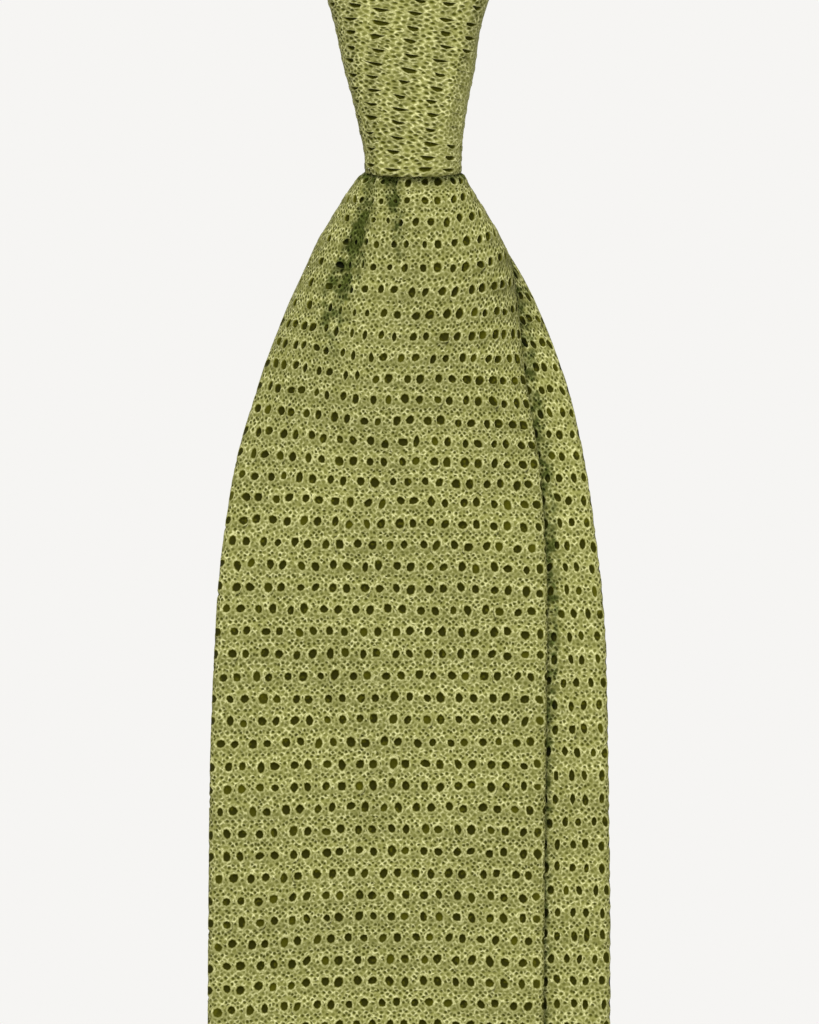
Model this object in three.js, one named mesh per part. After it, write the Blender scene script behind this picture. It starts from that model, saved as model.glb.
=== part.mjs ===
// A knit tie in a four-in-hand knot, as it hangs when worn.
// Millimetres, +Z up, the front faces -Y, the origin is the middle of the neck loop.
import * as THREE from 'three';

// Cloth
const CLOTH = 1.2;               // one layer of the knitted tube
const SLACK = 0.6;               // air between the two layers of the flattened tube
const PRESSED = 0.76;            // share of the thickness that is left where the knot grips
const CLEAR = 0.3;               // between pieces that touch
const EASE = 0.5;                // between curved walls that touch

// Neck loop
const NECK_WIDTH = 124;          // inside the loop, side to side
const NECK_DEPTH = 128;          // inside the loop, front to back
const BAND_WIDTH = 38;           // the band at the nape
const NAPE_RISE = 24;            // the band's middle at the nape, above the origin
const LEG_ANGLE = 40;            // where the legs leave the round of the neck, degrees from the front
const LEG_LIFT = 17;             // the legs rise about this far before they turn out
const LEG_SWING = 23;            // and follow the neck's round from about this far away
const LEG_FOOT_UP = 16;          // the legs end in the knot, this far above its rim
const LEG_FILL = 0.94;           // share of the sleeve's inner width that the two legs take

// Knot
const KNOT_HEIGHT = 40;
const KNOT_TOP_WIDTH = 35.6;
const KNOT_RIM_WIDTH = 18.6;
const KNOT_WALL = 3;
const KNOT_RIM_WALL = 1;         // pressed thin at the lower rim
const KNOT_DROP = 62;            // lower rim below the origin
const KNOT_FORWARD = 75;         // middle of the knot in front of the origin
const KNOT_ROOM = 3;             // loose room behind the tail, at the top of the knot
const RIM_SPARE = 0.6;           // and at its rim
const RIM_SAG = 1;               // the rim's middle hangs this much lower than its sides
const CREST_RISE = 16;           // the blade's pass over the knot, above the sleeve's top
const PASS_BOW = 2.8;            // depth of the pass's curve in the sleeve's mouth
const ROLL_DEPTH = 6;            // depth of the rolled blade where it leaves the knot
const RIM_FILL = 0.92;           // share of the sleeve's inner width that the blade takes at the rim
const TAIL_FILL = 0.56;          // and the tail

// Blades
const FRONT_WIDTH = 65;
const FRONT_DROP = 460;          // knot's rim to the square end
const TAIL_WIDTH = 48;
const TAIL_DROP = 380;
const TAIL_UP = 28;              // the tail reaches this far up into the knot
const OPENING_DROP = 160;        // over this length below the rim the gathered blades open out
const HEM = 1.5;                 // the ends are rounded off over this length

const THICK = 2 * CLOTH + SLACK;
const UNROLLED = 1e-4;           // roll below which a section counts as flat, radians

// The knot, from its rim up. Spread goes from the rim's size (0) to the top's (1), aside is a share of the
// top width.
const KNOT_ROWS = [
  { up: 0.00, spread: 0.00, aside: 0.014 },
  { up: 0.08, spread: 0.01, aside: 0.014 },
  { up: 0.20, spread: 0.09, aside: 0.006 },
  { up: 0.35, spread: 0.22, aside: 0.000 },
  { up: 0.50, spread: 0.39, aside: -0.006 },
  { up: 0.70, spread: 0.56, aside: -0.014 },
  { up: 0.85, spread: 0.77, aside: -0.012 },
  { up: 1.00, spread: 1.00, aside: -0.012 },
];

// The soft ridge down the knot's right side. Height and distance aside as shares of height and top width.
const KNOT_RIDGE = { lowUp: 0.19, lowAside: 0.146, highUp: 0.78, highAside: 0.385, rise: 0.02, spread: 0.09 };

// The front blade's pass, from its start behind the knot (1) to where the legs end in the sleeve.
// Half is a share of the sleeve's inner half width, roll in degrees, bow a share of PASS_BOW.
const PASS_ROWS = [
  { back: 1.00, half: 0.52, roll: 20, bow: 0.10 },
  { back: 0.72, half: 0.50, roll: 24, bow: 0.15 },
  { back: 0.58, half: 0.40, roll: 30, bow: 0.15 },
  { back: 0.44, half: 0.56, roll: 70, bow: 0.60 },
  { back: 0.38, half: 0.62, roll: 85, bow: 0.90 },
  { back: 0.15, half: 0.86, roll: 90, bow: 1.00 },
];

// The front blade below the knot. Drop is a share of OPENING_DROP, spread goes from the half width at the
// rim to the full one, aside is a share of the width, bow of ROLL_DEPTH: how far the edges lie back.
const FRONT_ROWS = [
  { drop: 0.000, spread: 0.000, aside: 0.006, roll: 120, bow: 1.00, press: PRESSED },
  { drop: 0.006, spread: 0.030, aside: 0.006, roll: 120, bow: 1.04, press: PRESSED },
  { drop: 0.013, spread: 0.120, aside: 0.003, roll: 122, bow: 1.16, press: 0.80 },
  { drop: 0.025, spread: 0.186, aside: 0.000, roll: 122, bow: 1.34, press: 0.85 },
  { drop: 0.050, spread: 0.290, aside: 0.000, roll: 116, bow: 1.52, press: 0.92 },
  { drop: 0.100, spread: 0.469, aside: -0.002, roll: 100, bow: 1.58, press: 1 },
  { drop: 0.162, spread: 0.594, aside: -0.023, roll: 82, bow: 1.36, press: 1 },
  { drop: 0.250, spread: 0.731, aside: -0.052, roll: 64, bow: 0.98, press: 1 },
  { drop: 0.375, spread: 0.900, aside: -0.071, roll: 44, bow: 0.52, press: 1 },
  { drop: 0.530, spread: 0.982, aside: -0.085, roll: 28, bow: 0.24, press: 1 },
  { drop: 0.750, spread: 1.000, aside: -0.098, roll: 12, bow: 0.08, press: 1 },
  { drop: 1.000, spread: 1.000, aside: -0.103, roll: 6, bow: 0.02, press: 1 },
];

// Columns across the front blade, closer together where the creases run.
const FRONT_COLUMNS = [
  -1, -0.86, -0.72, -0.6, -0.5, -0.44, -0.39, -0.34, -0.29, -0.24,
  -0.16, -0.1, -0.03, 0.1, 0.28, 0.48, 0.68, 0.85, 1,
];
const HOLLOW_COLUMNS = [
  -1, -0.72, -0.5, -0.44, -0.39, -0.34, -0.29, -0.24,
  -0.16, -0.1, -0.03, 0.28, 0.68, 1,
];

// The tail below the knot, with the same columns. It lies behind the front blade's edges.
const TAIL_ROWS = [
  { drop: 0.000, spread: 0.000, aside: 0.000, roll: 20, bow: 0.03, press: PRESSED },
  { drop: 0.012, spread: 0.030, aside: 0.004, roll: 30, bow: 0.06, press: PRESSED },
  { drop: 0.031, spread: 0.180, aside: 0.035, roll: 50, bow: 0.18, press: 0.85 },
  { drop: 0.062, spread: 0.310, aside: 0.083, roll: 60, bow: 0.28, press: 0.92 },
  { drop: 0.104, spread: 0.437, aside: 0.140, roll: 60, bow: 0.30, press: 1 },
  { drop: 0.155, spread: 0.588, aside: 0.171, roll: 48, bow: 0.24, press: 1 },
  { drop: 0.227, spread: 0.716, aside: 0.215, roll: 36, bow: 0.16, press: 1 },
  { drop: 0.276, spread: 0.783, aside: 0.240, roll: 28, bow: 0.12, press: 1 },
  { drop: 0.396, spread: 0.897, aside: 0.271, roll: 18, bow: 0.08, press: 1 },
  { drop: 0.578, spread: 0.979, aside: 0.298, roll: 8, bow: 0.04, press: 1 },
  { drop: 0.875, spread: 1.000, aside: 0.306, roll: 4, bow: 0.02, press: 1 },
];

// Creases under the knot. Drop is a share of OPENING_DROP, the rest are shares of FRONT_WIDTH.
const CREASES = [
  [
    { drop: 0.006, aside: -0.104, deep: 0.000, wide: 0.020 },
    { drop: 0.050, aside: -0.125, deep: 0.048, wide: 0.026 },
    { drop: 0.094, aside: -0.149, deep: 0.058, wide: 0.030 },
    { drop: 0.137, aside: -0.178, deep: 0.042, wide: 0.034 },
    { drop: 0.191, aside: -0.214, deep: 0.016, wide: 0.042 },
    { drop: 0.270, aside: -0.250, deep: 0.000, wide: 0.050 },
  ],
  [
    { drop: 0.006, aside: -0.054, deep: 0.000, wide: 0.016 },
    { drop: 0.040, aside: -0.048, deep: 0.020, wide: 0.016 },
    { drop: 0.076, aside: -0.032, deep: 0.012, wide: 0.016 },
    { drop: 0.110, aside: -0.020, deep: 0.000, wide: 0.020 },
  ],
];

// Half the neck band, from the knot (0) to the nape (1). Half is a share from the leg's width to the band's.
const BAND_ROWS = [
  { along: 0.00, spread: 0.00, roll: 40, bow: 0.4 },
  { along: 0.12, spread: 0.00, roll: 40, bow: 0.4 },
  { along: 0.22, spread: 0.08, roll: 50, bow: 0.8 },
  { along: 0.34, spread: 0.42, roll: 40, bow: 1.2 },
  { along: 0.50, spread: 0.80, roll: 26, bow: 0.8 },
  { along: 0.70, spread: 0.97, roll: 12, bow: 0.2 },
  { along: 1.00, spread: 1.00, roll: 6, bow: 0.0 },
];

const radians = THREE.MathUtils.degToRad;
const mix = THREE.MathUtils.lerp;

// A column of a table at any place between its rows, on a smooth curve that never overshoots.
function column(rows, key, name, at) {
  const rising = rows[0][key] < rows[rows.length - 1][key] ? 1 : -1;
  const last = rows.length - 1;
  if ((at - rows[0][key]) * rising <= 0) return rows[0][name];
  if ((at - rows[last][key]) * rising >= 0) return rows[last][name];
  let i = 0;
  while ((rows[i + 1][key] - at) * rising < 0) i += 1;
  const slope = (k) => (rows[k + 1][name] - rows[k][name]) / (rows[k + 1][key] - rows[k][key]);
  const tangent = (k) => {
    if (k === 0 || k === last) return slope(Math.min(k, last - 1));
    const before = slope(k - 1);
    const after = slope(k);
    return before * after <= 0 ? 0 : 2 * before * after / (before + after);
  };
  const span = rows[i + 1][key] - rows[i][key];
  const t = (at - rows[i][key]) / span;
  const t2 = t * t;
  const t3 = t2 * t;
  return (2 * t3 - 3 * t2 + 1) * rows[i][name] + (t3 - 2 * t2 + t) * span * tangent(i)
    + (3 * t2 - 2 * t3) * rows[i + 1][name] + (t3 - t2) * span * tangent(i + 1);
}

// One section of flattened cloth: half its width and how far its rolled edges lie back.
function rolled(u, half, roll, bow) {
  const angle = Math.max(radians(roll), UNROLLED);
  const across = half * Math.sin(angle * u) / Math.sin(Math.min(angle, Math.PI / 2));
  const back = bow * (1 - Math.cos(angle * u)) / (1 - Math.cos(angle));
  return { across, back };
}

// The knot's size at a height above its rim, inside and out.
function knotAt(up) {
  const share = up / KNOT_HEIGHT;
  const spread = column(KNOT_ROWS, 'up', 'spread', share);
  const wall = mix(KNOT_RIM_WALL, KNOT_WALL, Math.min(1, 4 * share));
  const innerDepth = mix(RIM_ROOM, MOUTH_ROOM, spread);
  return {
    wall,
    aside: column(KNOT_ROWS, 'up', 'aside', share) * KNOT_TOP_WIDTH,
    half: mix(KNOT_RIM_WIDTH, KNOT_TOP_WIDTH, spread) / 2,
    halfDepth: innerDepth / 2 + wall,
    z: up - KNOT_DROP,
  };
}

// What lies in the sleeve, front to back: the blade, the legs and the tail at the top, blade and tail below.
const MOUTH_ROOM = 3 * THICK + PASS_BOW + 2 * CLEAR + 2 * EASE + KNOT_ROOM;
const RIM_ROOM = 2 * THICK * PRESSED + ROLL_DEPTH + CLEAR + 2 * EASE + RIM_SPARE;
const KNOT_TOP = knotAt(KNOT_HEIGHT);

// Half the width inside the sleeve, less the clearance to its wall.
function roomAt(up) {
  const knot = knotAt(Math.min(up, KNOT_HEIGHT));
  return knot.half - knot.wall - CLEAR;
}

// The sleeve's inner wall at a height, in front.
function liningFront(up) {
  const knot = knotAt(up);
  return -KNOT_FORWARD - (knot.halfDepth - knot.wall);
}

// The front blade's spine: behind the knot, over the top, down through the sleeve and on to its end.
const REAR_Y = -KNOT_FORWARD + KNOT_TOP.halfDepth + 1.5 * EASE + THICK / 2;
const MOUTH_Y = liningFront(KNOT_HEIGHT) + EASE + THICK / 2;
const ARCH = (REAR_Y - MOUTH_Y) / 2;
const ARCH_Z = KNOT_TOP.z + CREST_RISE - ARCH;
const REAR_RUN = ARCH_Z + KNOT_DROP - LEG_FOOT_UP;
const ARCH_RUN = Math.PI * ARCH;
const FRONT_RUN = ARCH_Z + KNOT_DROP;
const PASS_RUN = REAR_RUN + ARCH_RUN + FRONT_RUN;

function frontSpine(run) {
  if (run >= -FRONT_RUN) {
    const up = Math.max(-run, 0);
    const press = run >= 0 ? 1 : mix(PRESSED, 1, Math.min(1, up / (0.5 * KNOT_HEIGHT)));
    const inSleeve = liningFront(Math.min(up, KNOT_HEIGHT)) + EASE + press * THICK / 2;
    const rimY = liningFront(0) + EASE + PRESSED * THICK / 2;
    return { y: run >= 0 ? rimY : inSleeve, z: -KNOT_DROP - run, ny: -1, nz: 0 };
  }
  const turned = (-FRONT_RUN - run) / ARCH;
  if (turned <= Math.PI) {
    const ny = -Math.cos(turned);
    const nz = Math.sin(turned);
    return { y: (REAR_Y + MOUTH_Y) / 2 + ARCH * ny, z: ARCH_Z + ARCH * nz, ny, nz };
  }
  return { y: REAR_Y, z: ARCH_Z - (turned - Math.PI) * ARCH, ny: 1, nz: 0 };
}

function bladeShape(rows, run, width, fill) {
  const drop = Math.max(run, 0) / OPENING_DROP;
  return {
    half: mix(fill * roomAt(0), width / 2, column(rows, 'drop', 'spread', drop)),
    aside: column(rows, 'drop', 'aside', drop) * width,
    roll: column(rows, 'drop', 'roll', drop),
    bow: column(rows, 'drop', 'bow', drop) * ROLL_DEPTH,
    press: column(rows, 'drop', 'press', drop),
  };
}

function frontShape(run) {
  const below = bladeShape(FRONT_ROWS, run, FRONT_WIDTH, RIM_FILL);
  if (run >= 0) return below;
  const back = -run / PASS_RUN;
  const t = THREE.MathUtils.smoothstep(-run, 0, LEG_FOOT_UP);
  return {
    half: mix(RIM_FILL, column(PASS_ROWS, 'back', 'half', back), t) * roomAt(-run),
    aside: mix(below.aside, 0, t),
    roll: mix(below.roll, column(PASS_ROWS, 'back', 'roll', back), t),
    bow: mix(below.bow, column(PASS_ROWS, 'back', 'bow', back) * PASS_BOW, t),
    press: mix(PRESSED, 1, t),
  };
}

function creaseDepth(x, run) {
  if (run < 0) return 0;
  let depth = 0;
  for (const rows of CREASES) {
    const at = (name) => column(rows, 'drop', name, run / OPENING_DROP) * FRONT_WIDTH;
    depth += at('deep') * Math.exp(-(((x - at('aside')) / at('wide')) ** 2));
  }
  return depth;
}

function frontSheet(u, run) {
  const spine = frontSpine(run);
  const shape = frontShape(run);
  const half = shape.half - shape.press * THICK / 2;
  const { across, back } = rolled(u, half, shape.roll, shape.bow);
  return new THREE.Vector3(shape.aside + across, spine.y - spine.ny * back, spine.z - spine.nz * back);
}

// The creases push the cloth straight back, both layers alike, and die out towards the blade's edges.
function frontCrease(point, u, run) {
  point.y += creaseDepth(point.x, run) * Math.cos(Math.PI / 2 * u) ** 2;
}

// The tail hangs clear behind the front blade's edges, and behind the legs inside the sleeve.
const legY = (up) => frontSpine(-Math.min(up, KNOT_HEIGHT)).y + PASS_BOW + THICK + 2 * CLEAR;

const tailShape = (run) => bladeShape(TAIL_ROWS, run, TAIL_WIDTH, TAIL_FILL);

function tailY(run) {
  const below = Math.max(run, 0);
  const front = frontShape(below);
  const tail = tailShape(below);
  const behindFront = frontSpine(0).y + front.bow + (front.press + tail.press) * THICK / 2 + CLEAR;
  const behindLegs = legY(Math.max(-run, LEG_FOOT_UP)) + (1 + tail.press) * THICK / 2 + EASE;
  return mix(behindFront, behindLegs, THREE.MathUtils.clamp(-run / LEG_FOOT_UP, 0, 1));
}

function tailSheet(u, run) {
  const shape = tailShape(run);
  const half = shape.half - shape.press * THICK / 2;
  const { across, back } = rolled(u, half, shape.roll, shape.bow);
  return new THREE.Vector3(shape.aside + across, tailY(run) + back, -KNOT_DROP - run);
}

// The neck band's path: up out of the knot, out along a leg and round the neck to the nape.
const BAND_A = (NECK_WIDTH + THICK) / 2;
const BAND_B = (NECK_DEPTH + THICK) / 2;
const FOOT_SHARE = 0.09;         // of the half loop: the straight foot in the knot ends here
const LEG_SHARE = 0.31;          // of the half loop: the leg ends here
const legHalf = (up) => (LEG_FILL * roomAt(up) - CLEAR) / 2;
const footUp = (along) => mix(LEG_FOOT_UP, KNOT_HEIGHT, Math.min(1, along / FOOT_SHARE));

// A point of the round of the neck, which rises towards the nape.
function onNeck(angle) {
  const fore = Math.cos(angle);
  return new THREE.Vector3(BAND_A * Math.sin(angle), -BAND_B * fore, -NAPE_RISE * fore ** 3);
}

// Heading up out of the knot, out along a leg on one smooth curve, then round the neck to the nape.
function bandPoint(along) {
  const start = radians(LEG_ANGLE);
  const up = footUp(along);
  const mouth = new THREE.Vector3(legHalf(up) + CLEAR, legY(up), up - KNOT_DROP);
  if (along < FOOT_SHARE) return mouth;
  if (along >= LEG_SHARE) return onNeck(mix(start, Math.PI, (along - LEG_SHARE) / (1 - LEG_SHARE)));
  const joins = onNeck(start);
  const heading = onNeck(start + 0.01).sub(joins).normalize();
  const risen = mouth.clone().add(new THREE.Vector3(0, 0, LEG_LIFT));
  const swung = joins.clone().addScaledVector(heading, -LEG_SWING);
  const leg = new THREE.CubicBezierCurve3(mouth, risen, swung, joins);
  return leg.getPoint((along - FOOT_SHARE) / (LEG_SHARE - FOOT_SHARE));
}

// Across the band at a place along the whole loop, -1 at the left leg's foot and 1 at the right leg's.
function bandSheet(u, place) {
  const side = place < 0 ? -1 : 1;
  const along = 1 - Math.abs(place);
  const step = 1e-3;
  const point = bandPoint(along);
  const heading = bandPoint(along + step / 2).sub(bandPoint(along - step / 2)).normalize();
  const outward = new THREE.Vector3(point.x / BAND_A ** 2, point.y / BAND_B ** 2, 0).normalize();
  outward.addScaledVector(heading, -outward.dot(heading)).normalize();
  const upward = new THREE.Vector3().crossVectors(outward, heading);
  const spread = column(BAND_ROWS, 'along', 'spread', along);
  const half = mix(legHalf(footUp(along)), BAND_WIDTH / 2, spread) - THICK / 2;
  const roll = column(BAND_ROWS, 'along', 'roll', along);
  const { across, back } = rolled(u, half, roll, column(BAND_ROWS, 'along', 'bow', along));
  point.addScaledVector(upward, across).addScaledVector(outward, -back);
  point.x *= side;
  return point;
}

// A ring of points round a section of the flattened tube, from its left edge over the front and back again.
function ringAt(sheet, run, columns, thickness, capped, crease, halfShare = 1) {
  const nudge = 0.002;
  const ring = [];
  const add = (point, turn) => ring.push({ point, turn });
  const frame = (u) => {
    const point = sheet(u * halfShare, run);
    const inner = Math.max(-1, u - nudge) * halfShare;
    const outer = Math.min(1, u + nudge) * halfShare;
    const across = sheet(outer, run).sub(sheet(inner, run)).normalize();
    const down = sheet(u * halfShare, run + nudge).sub(sheet(u * halfShare, run - nudge)).normalize();
    const normal = new THREE.Vector3().crossVectors(down, across).normalize();
    return { point, across, normal };
  };
  const at = (f, angle) => f.point.clone()
    .addScaledVector(f.across, thickness / 2 * Math.cos(angle))
    .addScaledVector(f.normal, thickness / 2 * Math.sin(angle));
  const frames = columns.map(frame);
  frames.forEach((f, i) => crease(f.point, columns[i], run));
  const left = frames[0];
  const right = frames[frames.length - 1];
  const last = frames.length - 1;
  const corner = Math.PI / 4;
  add(at(left, Math.PI), 0);
  if (capped) add(at(left, Math.PI - corner), 0.02);
  frames.forEach((f, i) => add(at(f, Math.PI / 2), 0.04 + 0.42 * i / last));
  if (capped) add(at(right, corner), 0.48);
  add(at(right, 0), 0.5);
  if (capped) add(at(right, -corner), 0.52);
  [...frames].reverse().forEach((f, i) => add(at(f, -Math.PI / 2), 0.54 + 0.42 * i / last));
  if (capped) add(at(left, Math.PI + corner), 0.98);
  return ring;
}

class Shell {
  constructor() {
    this.points = [];
    this.faces = [];
  }

  ring(points) {
    const first = this.points.length / 3;
    for (const { point } of points) this.points.push(point.x, point.y, point.z);
    return points.map(({ turn }, i) => ({ index: first + i, turn }));
  }

  // Joins two rings, which may have different numbers of points, by a band of triangles.
  join(a, b) {
    let i = 0;
    let j = 0;
    while (i < a.length || j < b.length) {
      const nextA = i + 1 < a.length ? a[i + 1].turn : 1 + (i - a.length + 1);
      const nextB = j + 1 < b.length ? b[j + 1].turn : 1 + (j - b.length + 1);
      const p = a[i % a.length].index;
      const q = b[j % b.length].index;
      if (i < a.length && (j >= b.length || nextA <= nextB)) {
        this.faces.push(p, q, a[(i + 1) % a.length].index);
        i += 1;
      } else {
        this.faces.push(p, q, b[(j + 1) % b.length].index);
        j += 1;
      }
    }
  }

  // Closes a ring by pairing its front points with those behind them.
  cap(ring, outward) {
    const n = ring.length;
    const id = (k) => ring[(k + n) % n].index;
    const face = (p, q, r) => this.faces.push(...(outward ? [p, q, r] : [p, r, q]));
    for (let k = 0; k < n / 2; k += 1) {
      if (k > 0) face(id(k), id(-k), id(k + 1));
      if (k + 1 < n / 2) face(id(k + 1), id(-k), id(-k - 1));
    }
  }

  mesh(name, colour, roughness) {
    const geometry = new THREE.BufferGeometry();
    geometry.setAttribute('position', new THREE.Float32BufferAttribute(this.points, 3));
    geometry.setIndex(this.faces);
    geometry.computeVertexNormals();
    const material = new THREE.MeshStandardMaterial({ color: colour, roughness, metalness: 0 });
    const mesh = new THREE.Mesh(geometry, material);
    mesh.name = name;
    return mesh;
  }
}

// A flattened knitted tube: an outer skin and the hollow in it, open at the top and closed at a square end,
// or open at both ends.
function tube({ name, sheet, runs, columns, hollowColumns, pressAt, crease = () => {}, closed, colour }) {
  const shell = new Shell();
  const skin = (thickness, across, capped) => runs.map((run) => (
    shell.ring(ringAt(sheet, run, across, pressAt(run) * thickness, capped, crease))
  ));
  const outer = skin(THICK, columns, true);
  const hollow = skin(SLACK, hollowColumns, false);
  if (closed) {
    const end = runs[runs.length - 1];
    const soft = ringAt(sheet, end + HEM, columns, 0.5 * THICK, true, crease, 0.985);
    outer.push(shell.ring(soft));
    shell.cap(outer[outer.length - 1], true);
    shell.cap(hollow[hollow.length - 1], false);
  } else {
    shell.join(outer[outer.length - 1], hollow[hollow.length - 1]);
  }
  for (let i = 0; i + 1 < outer.length; i += 1) shell.join(outer[i], outer[i + 1]);
  for (let i = 0; i + 1 < hollow.length; i += 1) shell.join(hollow[i + 1], hollow[i]);
  shell.join(hollow[0], outer[0]);
  return shell.mesh(name, colour, 0.75);
}

// Even columns across a section.
const evenly = (count) => Array.from({ length: count + 1 }, (_, i) => 2 * i / count - 1);

// Places along a run, given as stretches of { to, steps }.
function stations(from, stretches) {
  const runs = [from];
  let start = from;
  for (const { to, steps } of stretches) {
    for (let i = 1; i <= steps; i += 1) runs.push(mix(start, to, i / steps));
    start = to;
  }
  return runs;
}

function frontBlade() {
  const runs = stations(-PASS_RUN + CLEAR, [
    { to: -FRONT_RUN - ARCH_RUN, steps: 2 },
    { to: -FRONT_RUN, steps: 7 },
    { to: 0, steps: 5 },
    { to: 0.025 * OPENING_DROP, steps: 4 },
    { to: 0.25 * OPENING_DROP, steps: 12 },
    { to: OPENING_DROP, steps: 7 },
    { to: FRONT_DROP - HEM, steps: 3 },
  ]);
  return tube({
    name: 'front_blade',
    sheet: frontSheet,
    runs,
    columns: FRONT_COLUMNS,
    hollowColumns: HOLLOW_COLUMNS,
    pressAt: (run) => frontShape(run).press,
    crease: frontCrease,
    closed: true,
    colour: 0x8c8c53,
  });
}

function tailBlade() {
  const runs = stations(-TAIL_UP, [
    { to: 0, steps: 3 },
    { to: 0.155 * OPENING_DROP, steps: 8 },
    { to: OPENING_DROP, steps: 10 },
    { to: TAIL_DROP - HEM, steps: 3 },
  ]);
  return tube({
    name: 'tail_blade',
    sheet: tailSheet,
    runs,
    columns: evenly(8),
    hollowColumns: evenly(4),
    pressAt: (run) => tailShape(run).press,
    closed: true,
    colour: 0x868650,
  });
}

function neckBand() {
  const half = stations(1, [
    { to: 1 - FOOT_SHARE, steps: 3 },
    { to: 1 - LEG_SHARE, steps: 9 },
    { to: 0, steps: 12 },
  ]);
  const left = half.slice(0, -1).map((place) => -place);
  return tube({
    name: 'neck_band',
    sheet: bandSheet,
    runs: [...left, ...half.reverse()],
    columns: evenly(4),
    hollowColumns: evenly(2),
    pressAt: () => 1,
    closed: false,
    colour: 0x83834e,
  });
}

// The knot's sleeve: rings up the outside, over the top edge, down the inside and round the rim.
function knotWrap() {
  const around = 40;
  const squareness = 2.7;
  const ring = (up, inset, lift) => {
    const knot = knotAt(up);
    const points = [];
    for (let i = 0; i < around; i += 1) {
      const angle = 2 * Math.PI * i / around;
      const round = (c) => Math.sign(c) * Math.abs(c) ** (2 / squareness);
      const x = (knot.half - inset) * round(Math.cos(angle));
      const y = (knot.halfDepth - inset) * round(Math.sin(angle));
      const share = up / KNOT_HEIGHT;
      const sag = RIM_SAG * Math.max(0, -y / knot.halfDepth) ** 2 * Math.max(0, 1 - 4 * share);
      const climb = (share - KNOT_RIDGE.lowUp) / (KNOT_RIDGE.highUp - KNOT_RIDGE.lowUp);
      const ridgeX = mix(KNOT_RIDGE.lowAside, KNOT_RIDGE.highAside, climb) * KNOT_TOP_WIDTH;
      const near = Math.exp(-(((x - ridgeX) / (KNOT_RIDGE.spread * KNOT_TOP_WIDTH)) ** 2));
      const ridge = y < 0 && inset === 0 ? KNOT_RIDGE.rise * KNOT_TOP_WIDTH * near : 0;
      const point = new THREE.Vector3(knot.aside + x, -KNOT_FORWARD + y - ridge, knot.z + lift - sag);
      points.push({ point, turn: i / around });
    }
    return points;
  };
  const shell = new Shell();
  const rings = [];
  const rows = 8;
  const edge = 0.3;
  for (let i = 0; i <= rows; i += 1) {
    const up = KNOT_HEIGHT * i / rows;
    rings.push(shell.ring(ring(up, 0, 0)));
  }
  rings.push(shell.ring(ring(KNOT_HEIGHT, KNOT_WALL / 2, edge * KNOT_WALL)));
  for (let i = rows; i >= 0; i -= 1) {
    const up = KNOT_HEIGHT * i / rows;
    rings.push(shell.ring(ring(up, knotAt(up).wall, 0)));
  }
  rings.push(shell.ring(ring(0, KNOT_RIM_WALL / 2, -edge * KNOT_RIM_WALL)));
  rings.forEach((r, i) => shell.join(rings[(i + 1) % rings.length], r));
  return shell.mesh('knot_wrap', 0x8f8f56, 0.7);
}

const tie = new THREE.Group();
tie.add(neckBand(), knotWrap(), frontBlade(), tailBlade());

export default tie;
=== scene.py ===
# The looks of a knit tie: eyelets, stitches, silk and light, laid on the plain tied form.
import math

import bpy
import numpy as np
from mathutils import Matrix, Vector


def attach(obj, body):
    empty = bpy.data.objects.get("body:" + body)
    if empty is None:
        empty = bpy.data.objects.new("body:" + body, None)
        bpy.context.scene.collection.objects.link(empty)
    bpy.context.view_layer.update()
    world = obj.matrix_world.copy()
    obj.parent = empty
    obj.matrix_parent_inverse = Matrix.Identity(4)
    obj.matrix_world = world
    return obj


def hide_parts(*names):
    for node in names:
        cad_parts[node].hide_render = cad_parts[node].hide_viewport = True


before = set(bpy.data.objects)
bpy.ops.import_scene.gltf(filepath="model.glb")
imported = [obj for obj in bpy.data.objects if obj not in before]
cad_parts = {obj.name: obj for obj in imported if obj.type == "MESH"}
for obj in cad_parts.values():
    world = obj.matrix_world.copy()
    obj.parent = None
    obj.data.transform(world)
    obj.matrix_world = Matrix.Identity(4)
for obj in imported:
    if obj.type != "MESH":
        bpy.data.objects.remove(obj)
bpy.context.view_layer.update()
rng = np.random.default_rng(7)

MM = 0.001

# Cloth, in millimetres, as in the plain form
CLOTH = 1.2
SLACK = 0.6
PRESSED = 0.76
CLEAR = 0.3
EASE = 0.5
THICK = 2 * CLOTH + SLACK

# Neck loop
NECK_WIDTH = 124
NECK_DEPTH = 128
BAND_WIDTH = 38
NAPE_RISE = 24
LEG_ANGLE = 40
LEG_LIFT = 17
LEG_SWING = 23
LEG_FOOT_UP = 16
LEG_FILL = 0.94

# Knot
KNOT_HEIGHT = 40
KNOT_TOP_WIDTH = 35.6
KNOT_RIM_WIDTH = 18.6
KNOT_WALL = 3
KNOT_RIM_WALL = 1
KNOT_DROP = 62
KNOT_FORWARD = 75
KNOT_ROOM = 3
RIM_SPARE = 0.6
RIM_SAG = 1
CREST_RISE = 16
PASS_BOW = 2.8
ROLL_DEPTH = 6
RIM_FILL = 0.92
TAIL_FILL = 0.56
KNOT_SQUARENESS = 2.7

# Blades
FRONT_WIDTH = 65
FRONT_DROP = 460
TAIL_WIDTH = 48
TAIL_DROP = 380
TAIL_UP = 28
OPENING_DROP = 160
HEM = 1.5

# The knot from its rim up: height share, spread from rim to top size, shift as a share of the top width
KNOT_ROWS = {
    "up": [0.00, 0.08, 0.20, 0.35, 0.50, 0.70, 0.85, 1.00],
    "spread": [0.00, 0.01, 0.09, 0.22, 0.39, 0.56, 0.77, 1.00],
    "aside": [0.014, 0.014, 0.006, 0.000, -0.006, -0.014, -0.012, -0.012],
}

# The ridge down the knot's right side, as shares of its height and top width
RIDGE = {
    "low_up": 0.19,
    "low_aside": 0.146,
    "high_up": 0.78,
    "high_aside": 0.385,
    "rise": 0.02,
    "spread": 0.09,
}

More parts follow.
